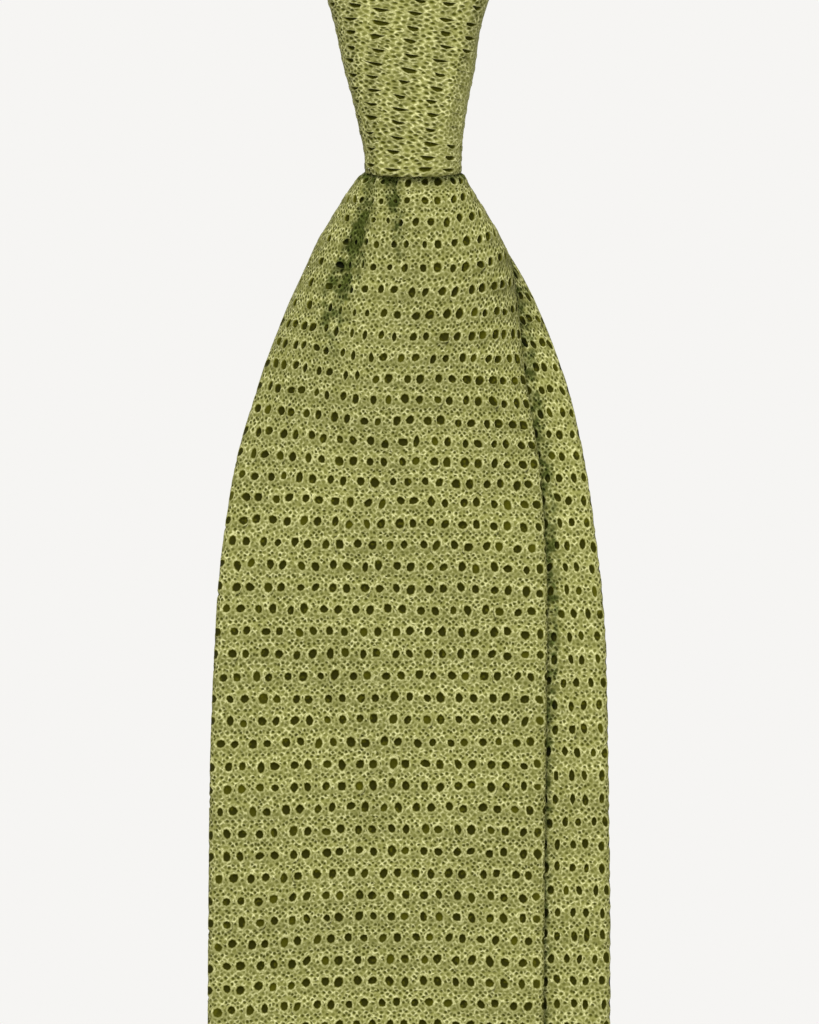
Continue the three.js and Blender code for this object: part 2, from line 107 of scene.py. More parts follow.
# The front blade's pass over the knot, from its start behind it
PASS_ROWS = {
    "back": [0.15, 0.38, 0.44, 0.58, 0.72, 1.00],
    "half": [0.86, 0.62, 0.56, 0.40, 0.50, 0.52],
    "roll": [90, 85, 70, 30, 24, 20],
    "bow": [1.00, 0.90, 0.60, 0.15, 0.15, 0.10],
}

# The front blade below the knot, by shares of the opening drop
FRONT_ROWS = {
    "drop": [0.000, 0.003, 0.013, 0.025, 0.050, 0.100, 0.162, 0.250, 0.375, 0.530, 0.750, 1.000],
    "spread": [0.000, 0.085, 0.140, 0.190, 0.290, 0.469, 0.594, 0.731, 0.900, 0.982, 1.000, 1.000],
    "aside": [0.006, 0.006, 0.003, 0.000, 0.000, -0.002, -0.023, -0.052, -0.071, -0.085, -0.098, -0.103],
    "roll": [120, 120, 122, 122, 116, 100, 82, 64, 44, 28, 12, 6],
    "bow": [1.00, 1.04, 1.16, 1.34, 1.52, 1.58, 1.36, 0.98, 0.52, 0.24, 0.08, 0.02],
    "press": [0.76, 0.76, 0.80, 0.85, 0.92, 1, 1, 1, 1, 1, 1, 1],
}

# The tail, which hangs behind the front blade
TAIL_ROWS = {
    "drop": [0.000, 0.012, 0.031, 0.062, 0.104, 0.155, 0.227, 0.276, 0.396, 0.578, 0.875],
    "spread": [0.000, 0.030, 0.180, 0.310, 0.437, 0.588, 0.716, 0.783, 0.897, 0.979, 1.000],
    "aside": [0.000, 0.004, 0.035, 0.083, 0.140, 0.171, 0.215, 0.240, 0.271, 0.298, 0.306],
    "roll": [20, 30, 50, 60, 60, 48, 36, 28, 18, 8, 4],
    "bow": [0.03, 0.06, 0.18, 0.28, 0.30, 0.24, 0.16, 0.12, 0.08, 0.04, 0.02],
    "press": [0.76, 0.76, 0.85, 0.92, 1, 1, 1, 1, 1, 1, 1],
}

# Creases under the knot: where they run, how deep and how wide, as shares of the front width
CREASES = [
    {
        "drop": [0.003, 0.034, 0.080, 0.103, 0.127, 0.155, 0.200, 0.270],
        "aside": [-0.112, -0.120, -0.152, -0.170, -0.200, -0.218, -0.236, -0.255],
        "deep": [0.020, 0.030, 0.043, 0.044, 0.036, 0.022, 0.009, 0.000],
        "wide": [0.012, 0.014, 0.022, 0.031, 0.038, 0.042, 0.046, 0.050],
    },
    {
        "drop": [0.003, 0.022, 0.040, 0.076, 0.115],
        "aside": [-0.056, -0.054, -0.046, -0.037, -0.030],
        "deep": [0.014, 0.030, 0.022, 0.014, 0.000],
        "wide": [0.014, 0.017, 0.013, 0.011, 0.011],
    },
]

# Half the neck band, from the knot to the nape
BAND_ROWS = {
    "along": [0.00, 0.12, 0.22, 0.34, 0.50, 0.70, 1.00],
    "spread": [0.00, 0.00, 0.08, 0.42, 0.80, 0.97, 1.00],
    "roll": [40, 40, 50, 40, 26, 12, 6],
    "bow": [0.4, 0.4, 0.8, 1.2, 0.8, 0.2, 0.0],
}
FOOT_SHARE = 0.09
LEG_SHARE = 0.31

# Rows of eyelets down the front blade: the row's number and its place below the rim
EYELET_ROWS = {
    "row": [-2, -1.5, -1, 0, 1, 4, 5, 8, 11, 14, 17, 20, 26, 32, 38],
    "run": [-1.9, 0.45, 2.0, 5.6, 9.5, 23.1, 27.6, 40.0, 52.1, 63.7, 76.1, 88.6, 114.1, 139.4, 164.3],
}
ROW_PITCH = 4.2
# How much lower the rows lie at the blade's left and right edge than in its middle
ROW_SAG = {
    "run": [0, 5.0, 12.0, 20.0, 26.0, 38.3, 50.0, 63.4, 75.0, 84.7, 95.0, 121.5, 160.0, 460.0],
    "left": [0.0, -0.4, -1.0, -1.4, -1.9, -3.1, -2.1, -1.0, -0.5, 0.0, 0.3, 1.0, 1.9, 1.9],
    "right": [0.0, -1.6, -2.8, -2.6, -1.3, 0.5, 0.9, 0.6, 0.9, 0.6, 0.3, 0.5, 0.9, 0.9],
}

# Rows of eyelets down the tail: the row's number and its place below the rim
TAIL_EYELET_ROWS = {
    "row": [-0.5, 16, 18, 20, 22, 24, 26, 34, 42, 90.5],
    "run": [-28, 46.8, 54.9, 63.4, 72.1, 80.9, 89.65, 125.5, 160.6, 380],
}


def mix(a, b, t):
    return a + (b - a) * t


def column(rows, key, name, at):
    """A column of a table at any place between its rows, on a smooth curve that never overshoots."""
    keys, values = rows[key], rows[name]
    last = len(keys) - 1
    if at <= keys[0]:
        return values[0]
    if at >= keys[last]:
        return values[last]
    i = 0
    while keys[i + 1] < at:
        i += 1

    def slope(k):
        return (values[k + 1] - values[k]) / (keys[k + 1] - keys[k])

    def tangent(k):
        if k in (0, last):
            return slope(min(k, last - 1))
        before, after = slope(k - 1), slope(k)
        return 0 if before * after <= 0 else 2 * before * after / (before + after)

    span = keys[i + 1] - keys[i]
    t = (at - keys[i]) / span
    return (
        (2 * t**3 - 3 * t**2 + 1) * values[i]
        + (t**3 - 2 * t**2 + t) * span * tangent(i)
        + (3 * t**2 - 2 * t**3) * values[i + 1]
        + (t**3 - t**2) * span * tangent(i + 1)
    )


def rolled(u, half, roll, bow):
    """One section of flattened cloth: across, and how far its rolled edges lie back."""
    angle = max(math.radians(roll), 1e-4)
    across = half * np.sin(angle * u) / math.sin(min(angle, math.pi / 2))
    back = bow * (1 - np.cos(angle * u)) / (1 - math.cos(angle))
    return across, back


def knot_at(up):
    share = up / KNOT_HEIGHT
    spread = column(KNOT_ROWS, "up", "spread", share)
    wall = mix(KNOT_RIM_WALL, KNOT_WALL, min(1, 4 * share))
    return {
        "wall": wall,
        "aside": column(KNOT_ROWS, "up", "aside", share) * KNOT_TOP_WIDTH,
        "half": mix(KNOT_RIM_WIDTH, KNOT_TOP_WIDTH, spread) / 2,
        "half_depth": mix(RIM_ROOM, MOUTH_ROOM, spread) / 2 + wall,
        "z": up - KNOT_DROP,
    }


def room_at(up):
    knot = knot_at(min(up, KNOT_HEIGHT))
    return knot["half"] - knot["wall"] - CLEAR


def lining_front(up):
    knot = knot_at(up)
    return -KNOT_FORWARD - (knot["half_depth"] - knot["wall"])


MOUTH_ROOM = 3 * THICK + PASS_BOW + 2 * CLEAR + 2 * EASE + KNOT_ROOM
RIM_ROOM = 2 * THICK * PRESSED + ROLL_DEPTH + CLEAR + 2 * EASE + RIM_SPARE
KNOT_TOP = knot_at(KNOT_HEIGHT)
REAR_Y = -KNOT_FORWARD + KNOT_TOP["half_depth"] + 1.5 * EASE + THICK / 2
MOUTH_Y = lining_front(KNOT_HEIGHT) + EASE + THICK / 2
ARCH = (REAR_Y - MOUTH_Y) / 2
ARCH_Z = KNOT_TOP["z"] + CREST_RISE - ARCH
FRONT_RUN = ARCH_Z + KNOT_DROP
PASS_RUN = (ARCH_Z + KNOT_DROP - LEG_FOOT_UP) + math.pi * ARCH + FRONT_RUN


def front_spine(run):
    """Where the front blade's middle runs: y, z and the way its outer face looks (ny, nz)."""
    if run >= -FRONT_RUN:
        up = max(-run, 0)
        press = 1 if run >= 0 else mix(PRESSED, 1, min(1, up / (0.5 * KNOT_HEIGHT)))
        in_sleeve = lining_front(min(up, KNOT_HEIGHT)) + EASE + press * THICK / 2
        rim_y = lining_front(0) + EASE + PRESSED * THICK / 2
        return (rim_y if run >= 0 else in_sleeve), -KNOT_DROP - run, -1, 0
    turned = (-FRONT_RUN - run) / ARCH
    if turned <= math.pi:
        ny, nz = -math.cos(turned), math.sin(turned)
        return (REAR_Y + MOUTH_Y) / 2 + ARCH * ny, ARCH_Z + ARCH * nz, ny, nz
    return REAR_Y, ARCH_Z - (turned - math.pi) * ARCH, 1, 0


def blade_shape(rows, run, width, fill):
    drop = max(run, 0) / OPENING_DROP
    return {
        "half": mix(fill * room_at(0), width / 2, column(rows, "drop", "spread", drop)),
        "aside": column(rows, "drop", "aside", drop) * width,
        "roll": column(rows, "drop", "roll", drop),
        "bow": column(rows, "drop", "bow", drop) * ROLL_DEPTH,
        "press": column(rows, "drop", "press", drop),
    }


def front_shape(run):
    below = blade_shape(FRONT_ROWS, run, FRONT_WIDTH, RIM_FILL)
    if run >= 0:
        return below
    back = -run / PASS_RUN
    t = min(1, -run / LEG_FOOT_UP)
    t = t * t * (3 - 2 * t)
    return {
        "half": mix(RIM_FILL, column(PASS_ROWS, "back", "half", back), t) * room_at(-run),
        "aside": mix(below["aside"], 0, t),
        "roll": mix(below["roll"], column(PASS_ROWS, "back", "roll", back), t),
        "bow": mix(below["bow"], column(PASS_ROWS, "back", "bow", back) * PASS_BOW, t),
        "press": mix(PRESSED, 1, t),
    }


def crease_depth(x, run):
    depth = np.zeros_like(x)
    if run >= 0:
        for rows in CREASES:
            aside, deep, wide = (
                column(rows, "drop", name, run / OPENING_DROP) * FRONT_WIDTH
                for name in ("aside", "deep", "wide")
            )
            depth += deep * np.exp(-(((x - aside) / wide) ** 2))
    return depth


def front_sheet(u, run):
    y, z, ny, nz = front_spine(run)
    shape = front_shape(run)
    half = shape["half"] - shape["press"] * THICK / 2
    across, back = rolled(u, half, shape["roll"], shape["bow"])
    return np.stack([shape["aside"] + across, y - ny * back, z - nz * back], -1)


def tail_shape(run):
    return blade_shape(TAIL_ROWS, run, TAIL_WIDTH, TAIL_FILL)


def leg_y(up):
    return front_spine(-min(up, KNOT_HEIGHT))[0] + PASS_BOW + THICK + 2 * CLEAR


def tail_y(run):
    below = max(run, 0)
    front, tail = front_shape(below), tail_shape(below)
    behind_front = front_spine(0)[0] + front["bow"] + (front["press"] + tail["press"]) * THICK / 2 + CLEAR
    behind_legs = leg_y(max(-run, LEG_FOOT_UP)) + (1 + tail["press"]) * THICK / 2 + EASE
    return mix(behind_front, behind_legs, min(1, max(0, -run / LEG_FOOT_UP)))


def tail_sheet(u, run):
    shape = tail_shape(run)
    half = shape["half"] - shape["press"] * THICK / 2
    across, back = rolled(u, half, shape["roll"], shape["bow"])
    return np.stack([shape["aside"] + across, tail_y(run) + back, np.full_like(u, -KNOT_DROP - run)], -1)


BAND_A = (NECK_WIDTH + THICK) / 2
BAND_B = (NECK_DEPTH + THICK) / 2


def leg_half(up):
    return (LEG_FILL * room_at(up) - CLEAR) / 2


def foot_up(along):
    return mix(LEG_FOOT_UP, KNOT_HEIGHT, min(1, along / FOOT_SHARE))


def on_neck(angle):
    fore = math.cos(angle)
    return np.array([BAND_A * math.sin(angle), -BAND_B * fore, -NAPE_RISE * fore**3])


def band_point(along):
    start = math.radians(LEG_ANGLE)
    up = foot_up(along)
    mouth = np.array([leg_half(up) + CLEAR, leg_y(up), up - KNOT_DROP])
    if along < FOOT_SHARE:
        return mouth
    if along >= LEG_SHARE:
        return on_neck(mix(start, math.pi, (along - LEG_SHARE) / (1 - LEG_SHARE)))
    joins = on_neck(start)
    heading = on_neck(start + 0.01) - joins
    heading /= np.linalg.norm(heading)
    risen = mouth + np.array([0, 0, LEG_LIFT])
    swung = joins - heading * LEG_SWING
    t = (along - FOOT_SHARE) / (LEG_SHARE - FOOT_SHARE)
    return (
        (1 - t) ** 3 * mouth + 3 * t * (1 - t) ** 2 * risen + 3 * t**2 * (1 - t) * swung + t**3 * joins
    )


def band_sheet(u, place):
    side = -1 if place < 0 else 1
    along = 1 - abs(place)
    step = 1e-3
    point = band_point(along)
    heading = band_point(along + step / 2) - band_point(along - step / 2)
    heading /= np.linalg.norm(heading)
    outward = np.array([point[0] / BAND_A**2, point[1] / BAND_B**2, 0])
    outward -= heading * (outward @ heading)
    outward /= np.linalg.norm(outward)
    upward = np.cross(outward, heading)
    spread = column(BAND_ROWS, "along", "spread", along)
    half = mix(leg_half(foot_up(along)), BAND_WIDTH / 2, spread) - THICK / 2
    roll = column(BAND_ROWS, "along", "roll", along)
    across, back = rolled(u, half, roll, column(BAND_ROWS, "along", "bow", along))
    points = point + across[:, None] * upward - back[:, None] * outward
    points[:, 0] *= side
    return points


# The fine net of a piece: its steps round, the points across a face and round a rolled edge, and the small
# step that gives the slope. A crease as deep as FOLD_DEPTH is wholly in painted shade.
AROUND = 256
FACE_POINTS = 121
EDGE_POINTS = 9
NUDGE = 0.002
FOLD_DEPTH = 1.9


def flattened_ring(sheet, run, thickness, crease=None, shadow=None):
    """The outside of the flattened tube at one place along it, in even steps from the middle of its face.

    Each point has a fourth number, its painted shade, for how deep it lies in a fold or behind an edge.
    """
    flat = np.linspace(-1, 1, FACE_POINTS)
    bend = np.linspace(math.pi / 2, -math.pi / 2, EDGE_POINTS)[1:-1]
    u = np.concatenate([flat, np.ones(len(bend)), flat[::-1], -np.ones(len(bend))])
    turn = np.concatenate(
        [np.full(len(flat), math.pi / 2), bend, np.full(len(flat), -math.pi / 2), bend - math.pi]
    )
    middle = sheet(u, run)
    across = sheet(np.minimum(u + NUDGE, 1), run) - sheet(np.maximum(u - NUDGE, -1), run)
    down = sheet(u, run + NUDGE) - sheet(u, run - NUDGE)
    across /= np.linalg.norm(across, axis=1)[:, None]
    normal = np.cross(down, across)
    normal /= np.linalg.norm(normal, axis=1)[:, None]
    # the fourth number: painted shade from the crease's depth, and from the shadow given
    fold_and_shade = np.zeros(len(u))
    if crease is not None:
        depth = crease(middle[:, 0], run) * np.cos(math.pi / 2 * u) ** 2
        middle[:, 1] += depth
        fold_and_shade = np.clip(depth / FOLD_DEPTH, 0, 1)
    ring = middle + thickness / 2 * (across * np.cos(turn)[:, None] + normal * np.sin(turn)[:, None])
    if shadow is not None:
        fold_and_shade = fold_and_shade + shadow(ring, run)
    return even_ring(np.column_stack([ring, fold_and_shade]), FACE_POINTS // 2)


def even_ring(ring, first):
    """A closed ring of points resampled to even steps, from the point numbered first."""
    ring = np.roll(ring, -first, axis=0)
    ring = np.concatenate([ring, ring[:1]])
    length = np.concatenate([[0], np.cumsum(np.linalg.norm(np.diff(ring[:, :3], axis=0), axis=1))])
    even = np.linspace(0, length[-1], AROUND + 1)[:-1]
    return np.stack([np.interp(even, length, ring[:, k]) for k in range(4)], -1), length[-1]


class Skin:
    """The outside of a piece as a fine net of points, read at any share round it and any place along it."""

    def __init__(self, runs, rings):
        self.runs = np.array(runs, float)
        self.points = np.array([r[0][:, :3] for r in rings])
        self.folds_and_shade = np.array([r[0][:, 3:] for r in rings])
        self.girth = np.array([r[1] for r in rings])
        around = np.roll(self.points, -1, axis=1) - np.roll(self.points, 1, axis=1)
        along = np.gradient(self.points, axis=0)
        normals = np.cross(around, along)
        normals /= np.maximum(np.linalg.norm(normals, axis=2), 1e-12)[:, :, None]
        out = self.points - self.points.mean(axis=1, keepdims=True)
        if (normals * out).sum() < 0:
            normals = -normals
        self.normals = normals

    def at(self, share, run, lift):
        place = np.interp(run, self.runs, np.arange(len(self.runs)))
        i = np.clip(place.astype(int), 0, len(self.runs) - 2)
        t = (place - i)[:, None]
        turn = np.mod(share, 1) * AROUND
        j = turn.astype(int) % AROUND
        s = (turn - np.floor(turn))[:, None]
        k = (j + 1) % AROUND

        def read(net):
            return mix(mix(net[i, j], net[i, k], s), mix(net[i + 1, j], net[i + 1, k], s), t)

        return read(self.points) + read(self.normals) * lift[:, None], read(self.folds_and_shade)[:, 0]

    def on_face(self, share, run):
        """Points, and their folds with painted shade, on the skin itself, in the form of the arrays given."""
        points, folds_and_shade = self.at(share.ravel(), run.ravel(), np.zeros(run.size))
        return points.reshape(run.shape + (3,)), folds_and_shade.reshape(run.shape)

    def girth_at(self, run):
        return np.interp(run, self.runs, self.girth)


# An eyelet's rings, from its raised strand inwards: size against the hole, lift, and how far it is a hole
# how far it is a hole sets the painted highlight on its strand and the painted shade inside it
FINE_RINGS = [(1.66, 0.02, 0.30), (1.26, 0.10, 0.54), (0.84, -0.6, 1.0)]
PLAIN_RINGS = [(1.45, 0.06, 0.42), (0.88, -0.6, 1.0)]
RING_TURNS = np.radians([225, 270, 315, 0, 45, 90, 135, 180])

# The larger this is, the narrower the strip along a rolled edge where the eyelets are shallower
EDGE_POWER = 100

# How much the eyelets vary at a jitter of one: place, size, stretch, outline, slant, and how light a hole's
# painted shade is
PLACE_VARIES = 0.035
SIZE_VARIES = 0.06
STRETCH_VARIES = 0.07
OUTLINE_VARIES = 0.075
SLANT_VARIES = 0.12
LIGHTEST_HOLE = 0.12

# Limits, as shares of a cell: half a hole across and along, half a ring, the first ring's room on each side
# of the middle, and how much less each next ring has
WIDEST_HOLE = 0.40
TALLEST_HOLE = 0.34
LARGEST_RING = 0.46
FIRST_ROOM = 0.48
LESS_ROOM = 0.04

# One eyelet's cell across and along in millimetres, as the pattern of pits and strands is drawn on it
PATTERN_ROW = 4.33
SLIT_PITCH = 2.75
FRONT_CELL = (3.1, PATTERN_ROW)
TAIL_CELL = (2.65, PATTERN_ROW)
BAND_CELL = (2.95, PATTERN_ROW)
KNOT_CELL = (6.2, SLIT_PITCH)


def knit(
    name,
    skin,
    columns,
    rows,
    place,
    hole,
    pitch,
    jitter=1.0,
    fine_at=None,
    plain_at=None,
    size_at=None,
    stagger=True,
    loop=False,
    smile=0.0,
    edge_calm=0.9,
    paired=0.07,
):
    """A closed skin of eyelet cells. place(column, row) gives the share round and the run, in arrays.

    rows are the row numbers, hole the eyelet's half width and height, pitch the nominal cell for the pattern,
    smile how far its middle hangs below its ends, in rows, edge_calm how much shallower the eyelets are on
    the rolled edges, and paired how far each leans to its neighbour, in columns. fine_at, plain_at and
    size_at say where the eyelets have a strand more, where there are none, and how large they are.
    With stagger, every third row lies half a column aside. A loop closes on itself from its last row to its
    first, and other skins are drawn shut at their ends.
    """
    count = len(rows)
    shift = np.array([-0.5 if stagger and r % 3 == 1 else 0.0 for r in rows])
    edge_shift = np.concatenate([[shift[0]], (shift[:-1] + shift[1:]) / 2, [shift[-1]]])
    verts, uvs, depths, folds_and_shade = [], [], [], []

    def add(col, row, lift, depth):
        share, run = place(col.ravel(), row.ravel())
        first = sum(len(v) for v in verts)
        on_edge = np.abs(np.sin(2 * math.pi * share)) ** EDGE_POWER
        points, fold_and_shade = skin.at(share, run, lift * (1 - edge_calm * on_edge))
        verts.append(points)
        folds_and_shade.append(fold_and_shade)
        uvs.append(np.stack([col.ravel() * pitch[0], row.ravel() * pitch[1]], -1))
        depths.append(np.broadcast_to(depth, col.shape).ravel())
        return first + np.arange(col.size).reshape(col.shape)

    cols = np.arange(columns)
    edge_rows = np.array([rows[0] - 0.5] + [r + 0.5 for r in rows])
    edges = count if loop else count + 1
    grid_col = np.zeros((edges, columns)) + cols
    grid_row = np.zeros((edges, columns)) + edge_rows[:edges, None]
    corner = add(grid_col + edge_shift[:edges, None], grid_row, 0, 0)
    top_mid = add(grid_col + 0.5 + edge_shift[:edges, None], grid_row, 0, 0)
    if loop:
        corner = np.concatenate([corner, corner[:1]])
        top_mid = np.concatenate([top_mid, top_mid[:1]])
    cell_col = np.zeros((count, columns)) + cols
    cell_row = np.zeros((count, columns)) + np.array(rows, float)[:, None]
    side_mid = add(cell_col + shift[:, None], cell_row, 0, 0)

    centre = cell_col + 0.5 + shift[:, None]

    def spot(col, row):
        return skin.on_face(*place(col, row))[0]

    # the size of each cell in millimetres, so that eyelets keep their size
    wide = np.linalg.norm(spot(centre + 0.5, cell_row) - spot(centre - 0.5, cell_row), axis=2)
    tall = np.linalg.norm(spot(centre, cell_row + 0.5) - spot(centre, cell_row - 0.5), axis=2)
    pair = np.where(cols % 2 == 0, paired, -paired)
    centre_col = centre + pair + rng.normal(0, jitter * PLACE_VARIES, centre.shape)
    centre_row = cell_row + rng.normal(0, jitter * PLACE_VARIES, centre.shape)
    size = np.exp(rng.normal(0, jitter * SIZE_VARIES, centre.shape))
    stretch = np.exp(rng.normal(0, jitter * STRETCH_VARIES, centre.shape))
    narrow, low = (1, 1) if size_at is None else size_at(centre, cell_row)
    half_col = np.minimum(hole[0] * narrow * size * stretch / wide, WIDEST_HOLE)
    half_row = np.minimum(hole[1] * low * size / stretch / tall, TALLEST_HOLE)
    wobble = np.exp(rng.normal(0, jitter * OUTLINE_VARIES, centre.shape + (len(RING_TURNS),)))
    slant = rng.normal(0, jitter * SLANT_VARIES, centre.shape)
    dim = rng.uniform(0, 1, centre.shape) ** 3 * LIGHTEST_HOLE

    is_plain = np.zeros(centre.shape, bool) if plain_at is None else plain_at(centre, cell_row)
    is_fine = np.zeros(centre.shape, bool) if fine_at is None else fine_at(centre, cell_row)
    faces = []

    def cells(mask, rings):
        i, j = np.nonzero(mask)
        after = (j + 1) % columns
        outer = np.stack(
            [
                corner[i + 1, j],
                top_mid[i + 1, j],
                corner[i + 1, after],
                side_mid[i, after],
                corner[i, after],
                top_mid[i, j],
                corner[i, j],
                side_mid[i, j],
            ],
            -1,
        )
        mid_col = centre[i, j, None]
        mid_row = cell_row[i, j, None]
        for number, (scale, lift, depth) in enumerate(rings):
            fit = np.minimum(1, LARGEST_RING / np.maximum(half_col[i, j] * scale, half_row[i, j] * scale))
            reach_col = (half_col[i, j] * scale * fit)[:, None]
            reach_row = (half_row[i, j] * scale * fit)[:, None]
            dx = np.cos(RING_TURNS + slant[i, j, None]) * wobble[i, j] * reach_col
            dy = np.sin(RING_TURNS) * wobble[i, j] * reach_row
            dy -= smile * np.sin(RING_TURNS) ** 2
            shown = depth - dim[i, j, None] * (depth == 1)
            # a ring stays in its cell, and the next one further in
            room = FIRST_ROOM - LESS_ROOM * number
            in_col = np.clip(centre_col[i, j, None] + dx, mid_col - room, mid_col + room)
            in_row = np.clip(centre_row[i, j, None] - dy, mid_row - room, mid_row + room)
            inner = add(in_col, in_row, lift, shown)
            join(outer, inner)
            outer = inner
        faces.append(outer[:, [0, 1, 2, 3]])
        faces.append(outer[:, [0, 3, 4, 7]])
        faces.append(outer[:, [4, 5, 6, 7]])

    def join(outer, inner):
        sides = len(RING_TURNS)
        for k in range(sides):
            m = (k + 1) % sides
            faces.append(np.stack([outer[:, k], outer[:, m], inner[:, m], inner[:, k]], -1))

    cells(is_plain, [])
    cells(is_fine & ~is_plain, FINE_RINGS)
    cells(~is_fine & ~is_plain, PLAIN_RINGS)

    # the ends are drawn shut, each point to the one behind it
    for row, way in () if loop else ((0, 1), (count, -1)):
        ring = np.stack([corner[row], top_mid[row]], -1).ravel()
        ring = np.roll(ring, -(len(ring) // 4))
        n = len(ring)
        for k in range(n // 2):
            quad = [ring[k % n], ring[(k + 1) % n], ring[(-k - 1) % n], ring[(-k) % n]][::way]
            faces.append(np.array([quad]))
    # marks for the material: how far into an eyelet, and the painted shade of folds and edges
    marks = {"eyelet": np.concatenate(depths), "fold_and_shade": np.concatenate(folds_and_shade)}
    return make_mesh(name, np.concatenate(verts), faces, np.concatenate(uvs), marks, columns * pitch[0])


def make_mesh(name, verts, faces, uvs, marks, turn):
    quads = []
    for block in faces:
        for quad in block.tolist():
            unique = list(dict.fromkeys(quad))
            if len(unique) >= 3:
                quads.append(unique)
    mesh = bpy.data.meshes.new(name)
    mesh.from_pydata((verts * MM).tolist(), [], quads)
    mesh.update()
    counts = np.array([len(q) for q in quads])
    flat = np.array([v for q in quads for v in q])
    uv = uvs[flat]
    # a face that crosses from the last column to the first keeps its pattern unbroken
    start = np.repeat(np.concatenate([[0], np.cumsum(counts)[:-1]]), counts)
    jump = uv[:, 0] - uv[start, 0]
    uv[:, 0] -= np.round(jump / turn) * turn
    layer = mesh.uv_layers.new(name="stitches")
    layer.data.foreach_set("uv", (uv * MM).astype(np.float32).ravel())
    for mark, values in marks.items():
        attribute = mesh.attributes.new(mark, "FLOAT", "POINT")
        attribute.data.foreach_set("value", values.astype(np.float32))
    mesh.polygons.foreach_set("use_smooth", np.ones(len(quads), bool))
    mesh.validate()
    obj = bpy.data.objects.new(name, mesh)
    bpy.context.scene.collection.objects.link(obj)
    return obj


MOST_GATHERED = 0.88
THINNEST_HEM = 0.2
RUN_STEP = 0.75


def gathered(share, stretch):
    """Keeps the columns' spacing in the middle of each face, and crowds them at the edges."""
    return share + stretch * np.sin(4 * math.pi * share) / (4 * math.pi)


def spread_columns(skin, columns, natural, middle):
    """How columns lie round a skin, at their natural width in the middle of each face where that fits."""

    def share_of(col, run):
        girth = skin.girth_at(run)
        stretch = np.clip(natural * columns / girth - 1, 0, MOST_GATHERED)
        return gathered(col / columns, stretch) + middle / girth

    return share_of


def end_thickness(run, first, last, thickness):
    """The cloth's thickness, rounded off over the last millimetres at both ends."""
    left = min(run - first, last - run)
    if left >= HEM:
        return thickness
    return thickness * max(THINNEST_HEM, math.sqrt(max(0, 1 - (1 - left / HEM) ** 2)))


def skin_of(sheet, shape, first, last, crease=None, shadow=None, extra=()):
    steps = int(math.ceil((last - first) / RUN_STEP))
    runs = np.union1d(np.linspace(first, last, steps + 1), extra)
    rings = []
    for run in runs:
        thickness = end_thickness(run, first, last, THICK * shape(run)["press"])
        rings.append(flattened_ring(sheet, run, thickness, crease, shadow))
    return Skin(runs, rings)


# Front blade, from just inside the knot's rim to its square end, all in millimetres or shares of the girth
FRONT_COLUMNS = 42
FRONT_TOP = -4.0
FRONT_MIDDLE = 1.04
FRONT_HOLE = (0.75, 0.87)
FRONT_FINE_ROW = 40
SAG_EASE = 8

# Its painted shade: a dark line below the rim, and the right edge that rolls back
RIM_SHADE = {"dark": 0.6, "reach": 0.9}
ROLLED_EDGE_SHADE = {"run": [8, 18, 60, 95], "dark": [0, 0.08, 0.05, 0], "reach": 1.1}

# Where its rings lie closer, right below the rim
RIM_STEPS = np.array([0.0, 0.1, 0.2, 0.3, 0.45, 0.7, 1.0])

# The gathers left of the main crease, where every other eyelet is drawn shut and the rest are wider
GATHERS = {"gap": 1.4, "share": 0.74, "from": 6, "to": 28, "wider": 1.45}

# Where eyelets are smaller: the blade's upper left, its top, and the folds
UPPER_LEFT = {"x": -10, "run": 34, "wide": 9, "tall": 14, "narrower": 0.40, "lower": 0.06}
BLADE_TOP = {"x": -5, "wide": 8, "tall": 24, "narrower": 0.22, "lower": 0.26}
IN_FOLDS = {"gain": 1.2, "narrower": 0.5, "lower": 0.3}

# How much their widths vary, down to about this run
MIXED_WIDTHS = {"varies": 0.16, "run": 60}


def front_row_run(row):
    """Millimetres below the rim at which a row of eyelets lies."""
    rows, runs = EYELET_ROWS["row"], EYELET_ROWS["run"]
    inside = np.interp(row, rows, runs)
    above = runs[0] + (row - rows[0]) * ROW_PITCH
    below = runs[-1] + (row - rows[-1]) * ROW_PITCH
    return np.where(row < rows[0], above, np.where(row > rows[-1], below, inside))


def front_shade(ring, run):
    """Painted shade: the dark line right below the knot's rim, and where the blade's right edge rolls back.
    """
    shape = front_shape(run)
    reach = RIM_SHADE["reach"]
    line = RIM_SHADE["dark"] * math.exp(-((max(0, run - reach) / reach) ** 2))
    rolled_in = np.interp(run, ROLLED_EDGE_SHADE["run"], ROLLED_EDGE_SHADE["dark"])
    inside = shape["aside"] + shape["half"] - ring[:, 0]
    return line + rolled_in * np.exp(-((inside / ROLLED_EDGE_SHADE["reach"]) ** 2))


front_skin = skin_of(front_sheet, front_shape, FRONT_TOP, FRONT_DROP, crease_depth, front_shade, RIM_STEPS)
front_share = spread_columns(front_skin, FRONT_COLUMNS, FRONT_CELL[0], FRONT_MIDDLE)


def front_place(col, row):
    run = front_row_run(row)
    share = front_share(col, run)
    side = np.sin(2 * math.pi * share)
    left = np.interp(run, ROW_SAG["run"], ROW_SAG["left"])
    right = np.interp(run, ROW_SAG["run"], ROW_SAG["right"])
    sag = np.where(side < 0, left * side**2, right * side**4)
    ends = np.clip(np.minimum(run - FRONT_TOP, FRONT_DROP - run) / SAG_EASE, 0, 1)
    return share, run + sag * ends


def left_of_crease(col, row):
    """The gathers between the main crease and the left edge."""
    run = front_row_run(row)
    share = front_share(col, run)
    x = front_skin.on_face(share, run)[0][..., 0]
    rows = CREASES[0]
    crease = np.interp(run / OPENING_DROP, rows["drop"], rows["aside"]) * FRONT_WIDTH
    beside = (x < crease - GATHERS["gap"]) & (np.mod(share, 1) > GATHERS["share"])
    return beside & (run > GATHERS["from"]) & (run < GATHERS["to"])


def drawn_shut(col, row):
    """Every other eyelet is drawn shut in those gathers."""
    return left_of_crease(col, row) & (np.floor(col) % 2 == 1)


